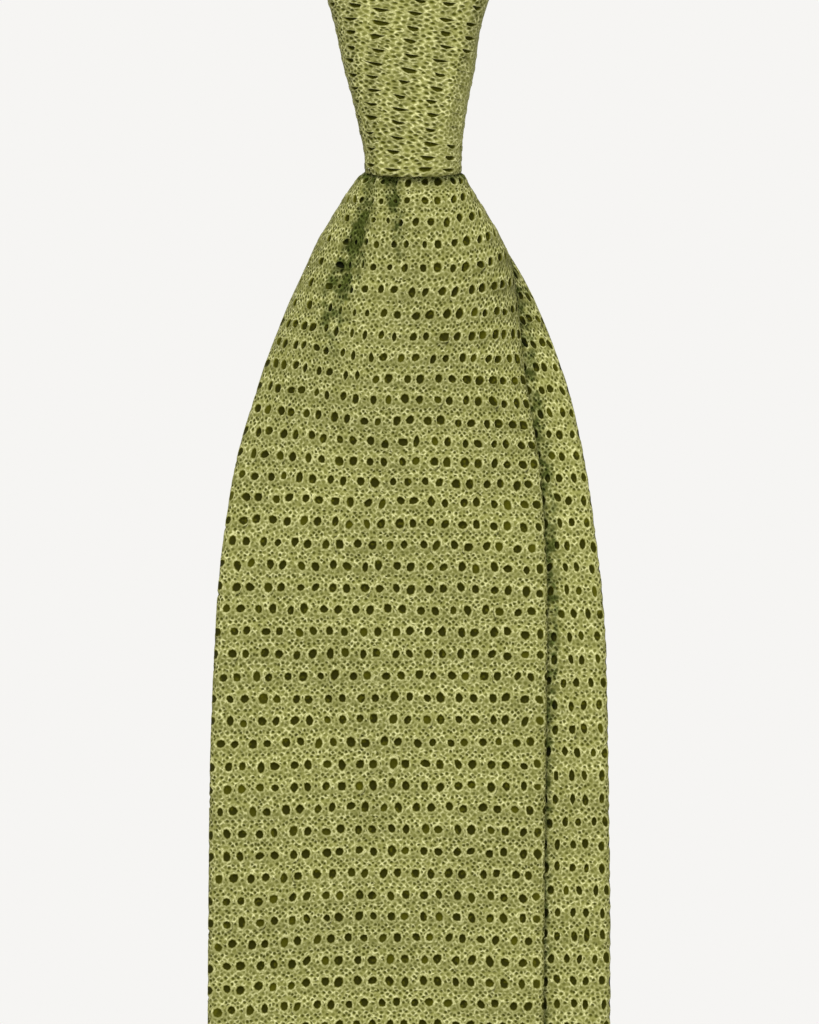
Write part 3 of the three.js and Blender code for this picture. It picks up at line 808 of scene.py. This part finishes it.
def front_hole_size(col, row):
    """Smaller eyelets where the cloth is drawn together: shares of their full width and height."""
    left, top, folds_and_shade = UPPER_LEFT, BLADE_TOP, IN_FOLDS
    run = front_row_run(row)
    around = front_share(col, run)
    x = (np.mod(around + 0.5, 1) - 0.5) * front_skin.girth_at(run)
    at_left = np.exp(-(((x - left["x"]) / left["wide"]) ** 2) - ((run - left["run"]) / left["tall"]) ** 2)
    at_top = np.exp(-(((x - top["x"]) / top["wide"]) ** 2) - (run / top["tall"]) ** 4)
    varies = rng.normal(0, MIXED_WIDTHS["varies"], run.shape)
    mixed_widths = np.exp(varies * np.exp(-((run / MIXED_WIDTHS["run"]) ** 4)))
    fold_and_shade = front_skin.on_face(around, run)[1]
    squeezed = np.clip(folds_and_shade["gain"] * fold_and_shade, 0, 1)
    narrow = (1 - left["narrower"] * at_left) * (1 - top["narrower"] * at_top)
    narrow = narrow * (1 - folds_and_shade["narrower"] * squeezed) * mixed_widths
    narrow = np.where(left_of_crease(col, row), GATHERS["wider"] * mixed_widths, narrow)
    low = (1 - left["lower"] * at_left) * (1 - top["lower"] * at_top) * (1 - folds_and_shade["lower"] * squeezed)
    return narrow, low


def in_view(columns, last_row):
    """The face's own half of the columns, down to a row."""

    def test(col, row):
        turn = np.mod(col / columns + 0.25, 1)
        return (turn < 0.5) & (row <= last_row)

    return test


FIRST_FRONT_ROW = EYELET_ROWS["row"][0]
LAST_FRONT_ROW = int((FRONT_DROP - EYELET_ROWS["run"][-1]) / ROW_PITCH) + EYELET_ROWS["row"][-1]
front_knit = knit(
    "front_knit",
    front_skin,
    FRONT_COLUMNS,
    list(range(FIRST_FRONT_ROW, LAST_FRONT_ROW + 1)),
    front_place,
    FRONT_HOLE,
    FRONT_CELL,
    fine_at=in_view(FRONT_COLUMNS, FRONT_FINE_ROW),
    plain_at=drawn_shut,
    size_at=front_hole_size,
)

# The front blade's pass over the knot, which stops inside the knot, a little above its rim
PASS_PITCH = 4.25
PASS_STOP = 3.0
PASS_HOLE = (0.78, 0.80)
PASS_START = -PASS_RUN + CLEAR
PASS_LENGTH = PASS_RUN - CLEAR - PASS_STOP
PASS_COUNT = int(PASS_LENGTH / PASS_PITCH)
pass_skin = skin_of(front_sheet, front_shape, PASS_START, -PASS_STOP)
pass_share = spread_columns(pass_skin, FRONT_COLUMNS, FRONT_CELL[0], 0)


def pass_place(col, row):
    run = PASS_START + (row + 0.5) * PASS_LENGTH / PASS_COUNT
    return pass_share(col, run), run


pass_knit = knit(
    "pass_knit",
    pass_skin,
    FRONT_COLUMNS,
    list(range(PASS_COUNT)),
    pass_place,
    PASS_HOLE,
    FRONT_CELL,
    edge_calm=0,
)

# Tail, with the painted shadow that the front blade's right edge throws on it
TAIL_COLUMNS = 36
TAIL_COUNT = 91
TAIL_NATURAL = 2.5
TAIL_MIDDLE = -1.3
TAIL_HOLE = (0.57, 0.94)
TAIL_FINE_ROW = 45
EDGE_SHADE = {"run": [20, 60, 95, 120], "reach": [2.3, 2.1, 1.7, 0.7], "dark": [0.42, 0.52, 0.55, 0.5]}


def behind_front(ring, run):
    """How much painted shadow the front blade's right edge throws on the tail's face."""
    shape = front_shape(run)
    edge = shape["aside"] + shape["half"]
    past = np.maximum(0, ring[:, 0] - edge)
    middle = ring[:, 1].mean()
    reach = np.interp(run, EDGE_SHADE["run"], EDGE_SHADE["reach"])
    dark = np.interp(run, EDGE_SHADE["run"], EDGE_SHADE["dark"])
    return np.where(ring[:, 1] < middle, dark * np.exp(-((past / reach) ** 3)), 0)


tail_skin = skin_of(tail_sheet, tail_shape, -TAIL_UP, TAIL_DROP, shadow=behind_front)
tail_share = spread_columns(tail_skin, TAIL_COLUMNS, TAIL_NATURAL, TAIL_MIDDLE)


def tail_place(col, row):
    run = np.interp(row, TAIL_EYELET_ROWS["row"], TAIL_EYELET_ROWS["run"])
    return tail_share(col, run), run


tail_knit = knit(
    "tail_knit",
    tail_skin,
    TAIL_COLUMNS,
    list(range(TAIL_COUNT)),
    tail_place,
    TAIL_HOLE,
    TAIL_CELL,
    fine_at=in_view(TAIL_COLUMNS, TAIL_FINE_ROW),
)

# Neck band
BAND_COLUMNS = 26
BAND_PITCH = 4.3
BAND_STEPS = 561
BAND_HOLE = (0.76, 0.80)
band_places = np.linspace(-1, 1, BAND_STEPS)
band_middle = np.array([band_sheet(np.zeros(1), p)[0] for p in band_places])
band_length = np.concatenate([[0], np.cumsum(np.linalg.norm(np.diff(band_middle, axis=0), axis=1))])
BAND_END = band_length[-1]


def band_ring(place, length):
    return flattened_ring(band_sheet, place, end_thickness(length, 0, BAND_END, THICK))


band_skin = Skin(band_length, [band_ring(p, r) for p, r in zip(band_places, band_length)])
band_share = spread_columns(band_skin, BAND_COLUMNS, BAND_CELL[0], 0)
BAND_COUNT = int(BAND_END / BAND_PITCH)


def band_place(col, row):
    run = (row + 0.5) * BAND_END / BAND_COUNT
    return band_share(col, run), run


band_knit = knit(
    "band_knit",
    band_skin,
    BAND_COLUMNS,
    list(range(BAND_COUNT)),
    band_place,
    BAND_HOLE,
    BAND_CELL,
)

# Knot: the last turn of the knit, whose rows stand upright and whose eyelets are pulled into slits
KNOT_COLUMNS = 14
KNOT_COLUMN = 6.3
KNOT_JITTER = 1.4
KNOT_STEPS = 720
KNOT_TURN = 0.57
KNOT_LEAN = 0.187
LEAN_FROM = 20
KNOT_TILT = 2.2
TILT_EASE = 9
SLIT_HOLE = (1.28, 0.37)
SLIT_SMILE = 0.12
INSIDE_RINGS = 9
OUTSIDE_RINGS = 41
EDGE_LIFT = 0.3
FIRST_SLIT_ROW = 3

# The smooth facet on its right side: where it begins, how far down it goes, and how many slits it keeps
FACET = {"x": 5.4, "z": -54.5, "slope": 0.357, "gap": 0.6, "low": -56, "slits": 0.12}


def knot_ring(up, inset=0.0, lift=0.0):
    knot = knot_at(up)
    angle = np.linspace(0, 2 * math.pi, KNOT_STEPS + 1)[:-1] - math.pi / 2
    c, s = np.cos(angle), np.sin(angle)
    x = (knot["half"] - inset) * np.sign(c) * np.abs(c) ** (2 / KNOT_SQUARENESS)
    y = (knot["half_depth"] - inset) * np.sign(s) * np.abs(s) ** (2 / KNOT_SQUARENESS)
    share = up / KNOT_HEIGHT
    sag = RIM_SAG * np.maximum(0, -y / knot["half_depth"]) ** 2 * max(0, 1 - 4 * share)
    climb = (share - RIDGE["low_up"]) / (RIDGE["high_up"] - RIDGE["low_up"])
    ridge_x = mix(RIDGE["low_aside"], RIDGE["high_aside"], climb) * KNOT_TOP_WIDTH
    near = np.exp(-(((x - ridge_x) / (RIDGE["spread"] * KNOT_TOP_WIDTH)) ** 2))
    ridge = np.where((y < 0) & (inset == 0), RIDGE["rise"] * KNOT_TOP_WIDTH * near, 0)
    ring = np.stack([knot["aside"] + x, -KNOT_FORWARD + y - ridge, knot["z"] + lift - sag, 0 * x], -1)
    return even_ring(ring, 0)


def inside_rings(low, high):
    return [knot_ring(up, knot_at(up)["wall"]) for up in np.linspace(low, high, INSIDE_RINGS)]


# From half way up inside, over the mouth, down the outside, round the rim and up inside again
knot_rings = inside_rings(KNOT_HEIGHT / 2, KNOT_HEIGHT)
knot_rings.append(knot_ring(KNOT_HEIGHT, KNOT_WALL / 2, EDGE_LIFT * KNOT_WALL))
knot_rings += [knot_ring(up) for up in np.linspace(KNOT_HEIGHT, 0, OUTSIDE_RINGS)]
knot_rings.append(knot_ring(0, KNOT_RIM_WALL / 2, -EDGE_LIFT * KNOT_RIM_WALL))
knot_rings += inside_rings(0, KNOT_HEIGHT / 2)
front_line = np.array([[0, r[0][0, 1], r[0].mean(axis=0)[2]] for r in knot_rings])
knot_runs = np.concatenate([[0], np.cumsum(np.linalg.norm(np.diff(front_line, axis=0), axis=1))])
knot_skin = Skin(knot_runs, knot_rings)
OUTSIDE_START = knot_runs[INSIDE_RINGS + 1]
OUTSIDE_END = knot_runs[INSIDE_RINGS + OUTSIDE_RINGS]
SLIT_ROWS = int(round((OUTSIDE_END - OUTSIDE_START) / SLIT_PITCH))
# Edges between the rows: some inside the mouth, the slits' rows, and four round the rim and up inside
KNOT_EDGES = np.concatenate(
    [
        np.linspace(0, OUTSIDE_START, FIRST_SLIT_ROW + 1)[:-1],
        np.linspace(OUTSIDE_START, OUTSIDE_END, SLIT_ROWS + 1),
        OUTSIDE_END + np.array([0.5, 1.2]),
        [mix(OUTSIDE_END, knot_runs[-1], 0.5), knot_runs[-1]],
    ]
)
knot_spacing = spread_columns(knot_skin, KNOT_COLUMNS, KNOT_COLUMN, 0)


def knot_place(col, row):
    run = np.interp(row + 0.5, np.arange(len(KNOT_EDGES)), KNOT_EDGES)
    down = np.clip(run - OUTSIDE_START, 0, OUTSIDE_END - OUTSIDE_START)
    lean = KNOT_LEAN * (down - LEAN_FROM) / KNOT_COLUMN
    share = knot_spacing(col - lean - KNOT_TURN, run)
    window = np.clip(np.minimum(run - OUTSIDE_START, OUTSIDE_END - run) / TILT_EASE, 0, 1)
    return share, run + KNOT_TILT * np.sin(2 * math.pi * share) * window


def facet_line(z):
    """Where the smooth facet on the knot's right side begins, in millimetres across."""
    return FACET["x"] + FACET["slope"] * (z - FACET["z"])


def without_slits(col, row):
    spots = knot_skin.on_face(*knot_place(col, row))[0]
    x, y, z = spots[..., 0], spots[..., 1], spots[..., 2]
    on_facet = (x > facet_line(z) + FACET["gap"]) & (y < -KNOT_FORWARD)
    on_facet &= (z > FACET["low"]) & (rng.uniform(size=col.shape) > FACET["slits"])
    return on_facet | (row < FIRST_SLIT_ROW) | (row >= FIRST_SLIT_ROW + SLIT_ROWS)


knot_knit = knit(
    "knot_knit",
    knot_skin,
    KNOT_COLUMNS,
    list(range(len(KNOT_EDGES) - 1)),
    knot_place,
    SLIT_HOLE,
    KNOT_CELL,
    KNOT_JITTER,
    fine_at=lambda col, row: np.ones(col.shape, bool),
    plain_at=without_slits,
    stagger=False,
    loop=True,
    smile=SLIT_SMILE,
    edge_calm=0,
    paired=0,
)

# Silk, from the painted glint and highlight on its strands to the painted shade inside a hole, and the tint
# of painted shade in folds and behind edges
PAINTED_GLINT = (0.372, 0.368, 0.172)
STRAND_HIGHLIGHT = (0.226, 0.225, 0.085)
MIDDLE = (0.128, 0.130, 0.030)
PIT_SHADE = (0.035, 0.037, 0.001)
HOLE_WALL_SHADE = (0.064, 0.064, 0.002)
HOLE_FLOOR_SHADE = (0.017, 0.017, 0.0002)
SLIT_FLOOR_SHADE = (0.030, 0.031, 0.001)
SHADE_TINT = (0.20, 0.25, 0.12)

# Spacing of the pits, across and along, in millimetres, and how much they stray from it
PITS = (1.2, 0.61)
KNOT_PITS = (2.1, 0.56)
PIT_RANDOM = 0.66


def link(tree, source, target):
    tree.links.new(source, target)


def math_node(tree, operation, a, b=None, c=None, clamp=False):
    node = tree.nodes.new("ShaderNodeMath")
    node.operation = operation
    node.use_clamp = clamp
    for socket, value in zip(node.inputs, (a, b, c)):
        if value is None:
            continue
        if isinstance(value, (int, float)):
            socket.default_value = value
        else:
            link(tree, value, socket)
    return node.outputs[0]


def smooth_step(tree, value, low, high, out_low=0.0, out_high=1.0):
    node = tree.nodes.new("ShaderNodeMapRange")
    node.interpolation_type = "SMOOTHSTEP"
    for name, number in (("From Min", low), ("From Max", high), ("To Min", out_low), ("To Max", out_high)):
        node.inputs[name].default_value = number
    link(tree, value, node.inputs["Value"])
    return node.outputs["Result"]


def mixed(tree, factor, a, b, blend="MIX"):
    node = tree.nodes.new("ShaderNodeMix")
    node.data_type = "RGBA"
    node.blend_type = blend
    sockets = [i for i in node.inputs if i.enabled]
    for socket, value in zip(sockets, (factor, a, b)):
        if isinstance(value, (int, float)):
            socket.default_value = value
        elif isinstance(value, tuple):
            socket.default_value = (*value, 1)
        else:
            link(tree, value, socket)
    return next(o for o in node.outputs if o.enabled)


def noise(tree, vector, scale, detail):
    node = tree.nodes.new("ShaderNodeTexNoise")
    node.inputs["Scale"].default_value = scale
    node.inputs["Detail"].default_value = detail
    link(tree, vector, node.inputs["Vector"])
    return node.outputs["Fac"]


def voronoi(tree, vector, feature):
    node = tree.nodes.new("ShaderNodeTexVoronoi")
    node.voronoi_dimensions = "2D"
    node.feature = feature
    node.inputs["Scale"].default_value = 1
    node.inputs["Randomness"].default_value = PIT_RANDOM
    link(tree, vector, node.inputs["Vector"])
    return node.outputs


def split_xyz(tree, vector):
    node = tree.nodes.new("ShaderNodeSeparateXYZ")
    link(tree, vector, node.inputs[0])
    return node.outputs


def point_mark(tree, name):
    node = tree.nodes.new("ShaderNodeAttribute")
    node.attribute_name = name
    return node.outputs["Fac"]


def beside_facet(tree, place):
    """One on the knot's ridged front, falling to a low share on its smooth facet."""
    past = math_node(tree, "MULTIPLY_ADD", place["Z"], -FACET["slope"], -facet_line(0) * MM)
    past = math_node(tree, "ADD", past, place["X"])
    return smooth_step(tree, past, -0.001, 0.0012, 1.0, 0.4)


def soft_patch(tree, place, x, z, wide, tall):
    """One at a place on the tie, fading to nought round it."""
    off_x = math_node(tree, "MULTIPLY_ADD", place["X"], 1 / (wide * MM), -x / wide)
    off_z = math_node(tree, "MULTIPLY_ADD", place["Z"], 1 / (tall * MM), -z / tall)
    square = math_node(tree, "MULTIPLY", off_z, off_z)
    square = math_node(tree, "MULTIPLY_ADD", off_x, off_x, square)
    return math_node(tree, "EXPONENT", math_node(tree, "MULTIPLY", square, -1.0))


def knit_material(name, pit=PITS, floor_shade=HOLE_FLOOR_SHADE, facet=False, painted_light_at=None):
    """Silk knit: a net of light strands with small pits between, a light ring round each dark eyelet.
    The light of strands and rings and the dark of pits and eyelets are painted highlight and shade.

    The last argument is a patch of painted light on the silk, painted shade where it is darker: its x and z,
    its half width and half height, in millimetres, and how much lighter.
    """
    material = bpy.data.materials.new(name)
    material.use_nodes = True
    tree = material.node_tree
    shader = tree.nodes["Principled BSDF"]
    uv = tree.nodes.new("ShaderNodeUVMap")
    uv.uv_map = "stitches"
    place = tree.nodes.new("ShaderNodeMapping")
    place.inputs["Scale"].default_value = (math.sqrt(2) / (pit[0] * MM), math.sqrt(2) / (2 * pit[1] * MM), 1)
    place.inputs["Rotation"].default_value = (0, 0, math.radians(45))
    place.inputs["Location"].default_value = (PIT_RANDOM / 2, PIT_RANDOM / 2, 0)
    link(tree, uv.outputs["UV"], place.inputs["Vector"])
    nearest = voronoi(tree, place.outputs["Vector"], "F1")
    edges = voronoi(tree, place.outputs["Vector"], "DISTANCE_TO_EDGE")
    split = tree.nodes.new("ShaderNodeSeparateColor")
    link(tree, nearest["Color"], split.inputs["Color"])
    at = tree.nodes.new("ShaderNodeTexCoord").outputs["Object"]
    broad = noise(tree, at, 60, 3)
    blotch = noise(tree, at, 620, 2)
    knots = noise(tree, at, 1000, 1)
    fibre = noise(tree, at, 1500, 1)

    depth = point_mark(tree, "eyelet")
    fold_and_shade = point_mark(tree, "fold_and_shade")
    field = smooth_step(tree, depth, 0.22, 0.38, 1, 0)
    ring = smooth_step(tree, depth, 0.26, 0.48)
    hole = smooth_step(tree, depth, 0.60, 0.84)
    strand = smooth_step(tree, edges["Distance"], 0.02, 0.36, 1, 0)
    strand = math_node(tree, "MULTIPLY", strand, smooth_step(tree, knots, 0.34, 0.60, 0.28, 1.0))
    grain = smooth_step(tree, fibre, 0.3, 0.7, -0.05, 0.05)
    value = math_node(tree, "ADD", smooth_step(tree, broad, 0.3, 0.7, 0.93, 1.07), grain)
    stitch = split_xyz(tree, uv.outputs["UV"])
    if facet:
        # the strands between the columns of slits stand out in painted highlight, the slits' columns in
        # painted shade, less so on the facet
        calm = beside_facet(tree, split_xyz(tree, at))
        field = math_node(tree, "MULTIPLY", field, calm)
        turns = math_node(tree, "MULTIPLY", stitch["X"], 2 * math.pi / (KNOT_CELL[0] * MM))
        column_light_and_shade = math_node(tree, "MULTIPLY", math_node(tree, "COSINE", turns), calm)
        value = math_node(tree, "MULTIPLY_ADD", column_light_and_shade, 0.12, value)
    else:
        # right below each row of eyelets the cloth is smoother and has painted shade
        to_turns = 2 * math.pi / (PATTERN_ROW * MM)
        turns = math_node(tree, "MULTIPLY_ADD", stitch["Y"], to_turns, -0.46 * math.pi)
        row_shade = math_node(tree, "COSINE", turns)
        field = math_node(tree, "MULTIPLY", field, smooth_step(tree, row_shade, 0.3, 1.0, 1.0, 0.45))
        strand = math_node(tree, "MULTIPLY", strand, smooth_step(tree, row_shade, 0.3, 1.0, 1.0, 0.7))
        value = math_node(tree, "MULTIPLY_ADD", row_shade, -0.10, value)
        value = math_node(tree, "SUBTRACT", value, 0.01)
    # a patch of painted light, painted shade where it is darker
    if painted_light_at:
        x, z, wide, tall, lighter = painted_light_at
        near = soft_patch(tree, split_xyz(tree, at), x, z, wide, tall)
        value = math_node(tree, "MULTIPLY_ADD", near, lighter, value)
    # the pits between the stitches, sunk by the bump and painted with shade
    chance = smooth_step(tree, split.outputs["Red"], 0.0, 0.7, 0.30, 1.0)
    dot = smooth_step(tree, nearest["Distance"], 0.13, 0.46, 1, 0)
    shaded_pits = math_node(tree, "MULTIPLY", math_node(tree, "MULTIPLY", dot, chance), field)
    # painted highlight on the strands and on the raised ring round each eyelet
    highlighted = math_node(tree, "MAXIMUM", strand, math_node(tree, "MULTIPLY", ring, 0.74))

    colour = mixed(tree, highlighted, MIDDLE, STRAND_HIGHLIGHT)
    # painted glints, highlights on the lit strands
    glint_highlight = math_node(tree, "MULTIPLY", smooth_step(tree, fibre, 0.46, 0.66), highlighted)
    colour = mixed(tree, glint_highlight, colour, PAINTED_GLINT)
    colour = mixed(tree, shaded_pits, colour, PIT_SHADE)
    # inside each eyelet, painted shade from its wall to its darker floor, lighter in places
    hole_shade = mixed(tree, smooth_step(tree, depth, 0.82, 0.97), HOLE_WALL_SHADE, floor_shade)
    hole_shade = mixed(tree, smooth_step(tree, knots, 0.55, 0.75, 0, 0.6), hole_shade, HOLE_WALL_SHADE)
    colour = mixed(tree, hole, colour, hole_shade)
    # painted shade in creases, below the rim and behind the front blade's edge, blotchy and tinted dark green
    patchy = math_node(tree, "MULTIPLY_ADD", blotch, 3.4, -1.55)
    painted_shade = math_node(tree, "MULTIPLY", smooth_step(tree, fold_and_shade, 0, 0.25), patchy)
    painted_shade = math_node(tree, "ADD", fold_and_shade, painted_shade, clamp=True)
    colour = mixed(tree, painted_shade, colour, SHADE_TINT, "MULTIPLY")
    tone = tree.nodes.new("ShaderNodeHueSaturation")
    link(tree, value, tone.inputs["Value"])
    link(tree, colour, tone.inputs["Color"])
    link(tree, tone.outputs["Color"], shader.inputs["Base Color"])

    height = math_node(tree, "SUBTRACT", math_node(tree, "MULTIPLY", strand, field), shaded_pits)
    bump = tree.nodes.new("ShaderNodeBump")
    bump.inputs["Strength"].default_value = 1.0
    bump.inputs["Distance"].default_value = 0.12 * MM
    link(tree, height, bump.inputs["Height"])
    link(tree, bump.outputs["Normal"], shader.inputs["Normal"])
    shader.inputs["Roughness"].default_value = 0.7
    shader.inputs["Specular IOR Level"].default_value = 0.04
    return material


# The front's copy has painted shade on the blade's upper middle, the tail's copy painted light across a band
front_material = knit_material("front silk knit", painted_light_at=(-5, -100, 14, 28, -0.11))
tail_material = knit_material("tail silk knit", painted_light_at=(0, -130, 400, 60, 0.09))
band_material = knit_material("band silk knit")
knot_material = knit_material("knot silk knit", pit=KNOT_PITS, floor_shade=SLIT_FLOOR_SHADE, facet=True)

for piece, material, node, slot in (
    (front_knit, front_material, "front_blade", "knit_front"),
    (pass_knit, front_material, "front_blade", "knit_front"),
    (tail_knit, tail_material, "tail_blade", "knit_tail"),
    (band_knit, band_material, "neck_band", "knit_band"),
    (knot_knit, knot_material, "knot_wrap", "knit_knot"),
):
    piece.data.materials.append(material)
    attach(piece, "root")
    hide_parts(node)

# Floor, light and camera
FLOOR_Z = -0.535
FLOOR_RADIUS = 0.9
FLOOR_COLOUR = (0.42, 0.415, 0.40, 1)
AIR_COLOUR = (0.922, 0.913, 0.896, 1)
LIT_PLACE = (0, -0.08, -0.12)
bpy.ops.object.select_all(action="DESELECT")
bpy.ops.mesh.primitive_circle_add(
    vertices=64, radius=FLOOR_RADIUS, fill_type="NGON", location=(0, 0, FLOOR_Z)
)
floor = bpy.context.object
floor.name = "floor"
bpy.ops.object.transform_apply(location=True)
floor_material = bpy.data.materials.new("pale floor")
floor_material.use_nodes = True
floor_shader = floor_material.node_tree.nodes["Principled BSDF"]
floor_shader.inputs["Base Color"].default_value = FLOOR_COLOUR
floor_shader.inputs["Roughness"].default_value = 0.9
floor.data.materials.append(floor_material)

world = bpy.data.worlds.new("pale studio")
bpy.context.scene.world = world
world.use_nodes = True
world.node_tree.nodes["Background"].inputs["Color"].default_value = AIR_COLOUR
world.node_tree.nodes["Background"].inputs["Strength"].default_value = 1.0
bpy.context.scene.view_settings.view_transform = "Standard"


def area_light(name, at, size, power):
    """A square lamp that shines at the part of the tie in view."""
    bpy.ops.object.light_add(type="AREA", location=at)
    lamp = bpy.context.object
    lamp.name = name
    lamp.data.size = size
    lamp.data.energy = power
    towards = Vector(LIT_PLACE) - Vector(at)
    lamp.rotation_mode = "QUATERNION"
    lamp.rotation_quaternion = towards.to_track_quat("-Z", "Y")


area_light("key", (-0.35, -1.6, 0.9), 0.7, 42.5)
area_light("fill", (0.9, -1.2, 0.2), 0.8, 8)
area_light("back", (-0.5, 1.5, 0.8), 0.8, 18)

VIEW_HEIGHT = 0.1973
VIEW_CENTRE = (-0.0002, -0.1276)
VIEW_DISTANCE = 2.5
BLADE_FACE_Y = -0.083
SENSOR = 36.0
camera_data = bpy.data.cameras.new("camera")
camera = bpy.data.objects.new("camera", camera_data)
bpy.context.scene.collection.objects.link(camera)
camera.location = (VIEW_CENTRE[0], BLADE_FACE_Y - VIEW_DISTANCE, VIEW_CENTRE[1])
camera.rotation_euler = (math.pi / 2, 0, 0)
camera_data.sensor_width = SENSOR
camera_data.lens = SENSOR * VIEW_DISTANCE / VIEW_HEIGHT
camera_data.clip_start = 0.05
camera_data.clip_end = 50
bpy.context.scene.camera = camera
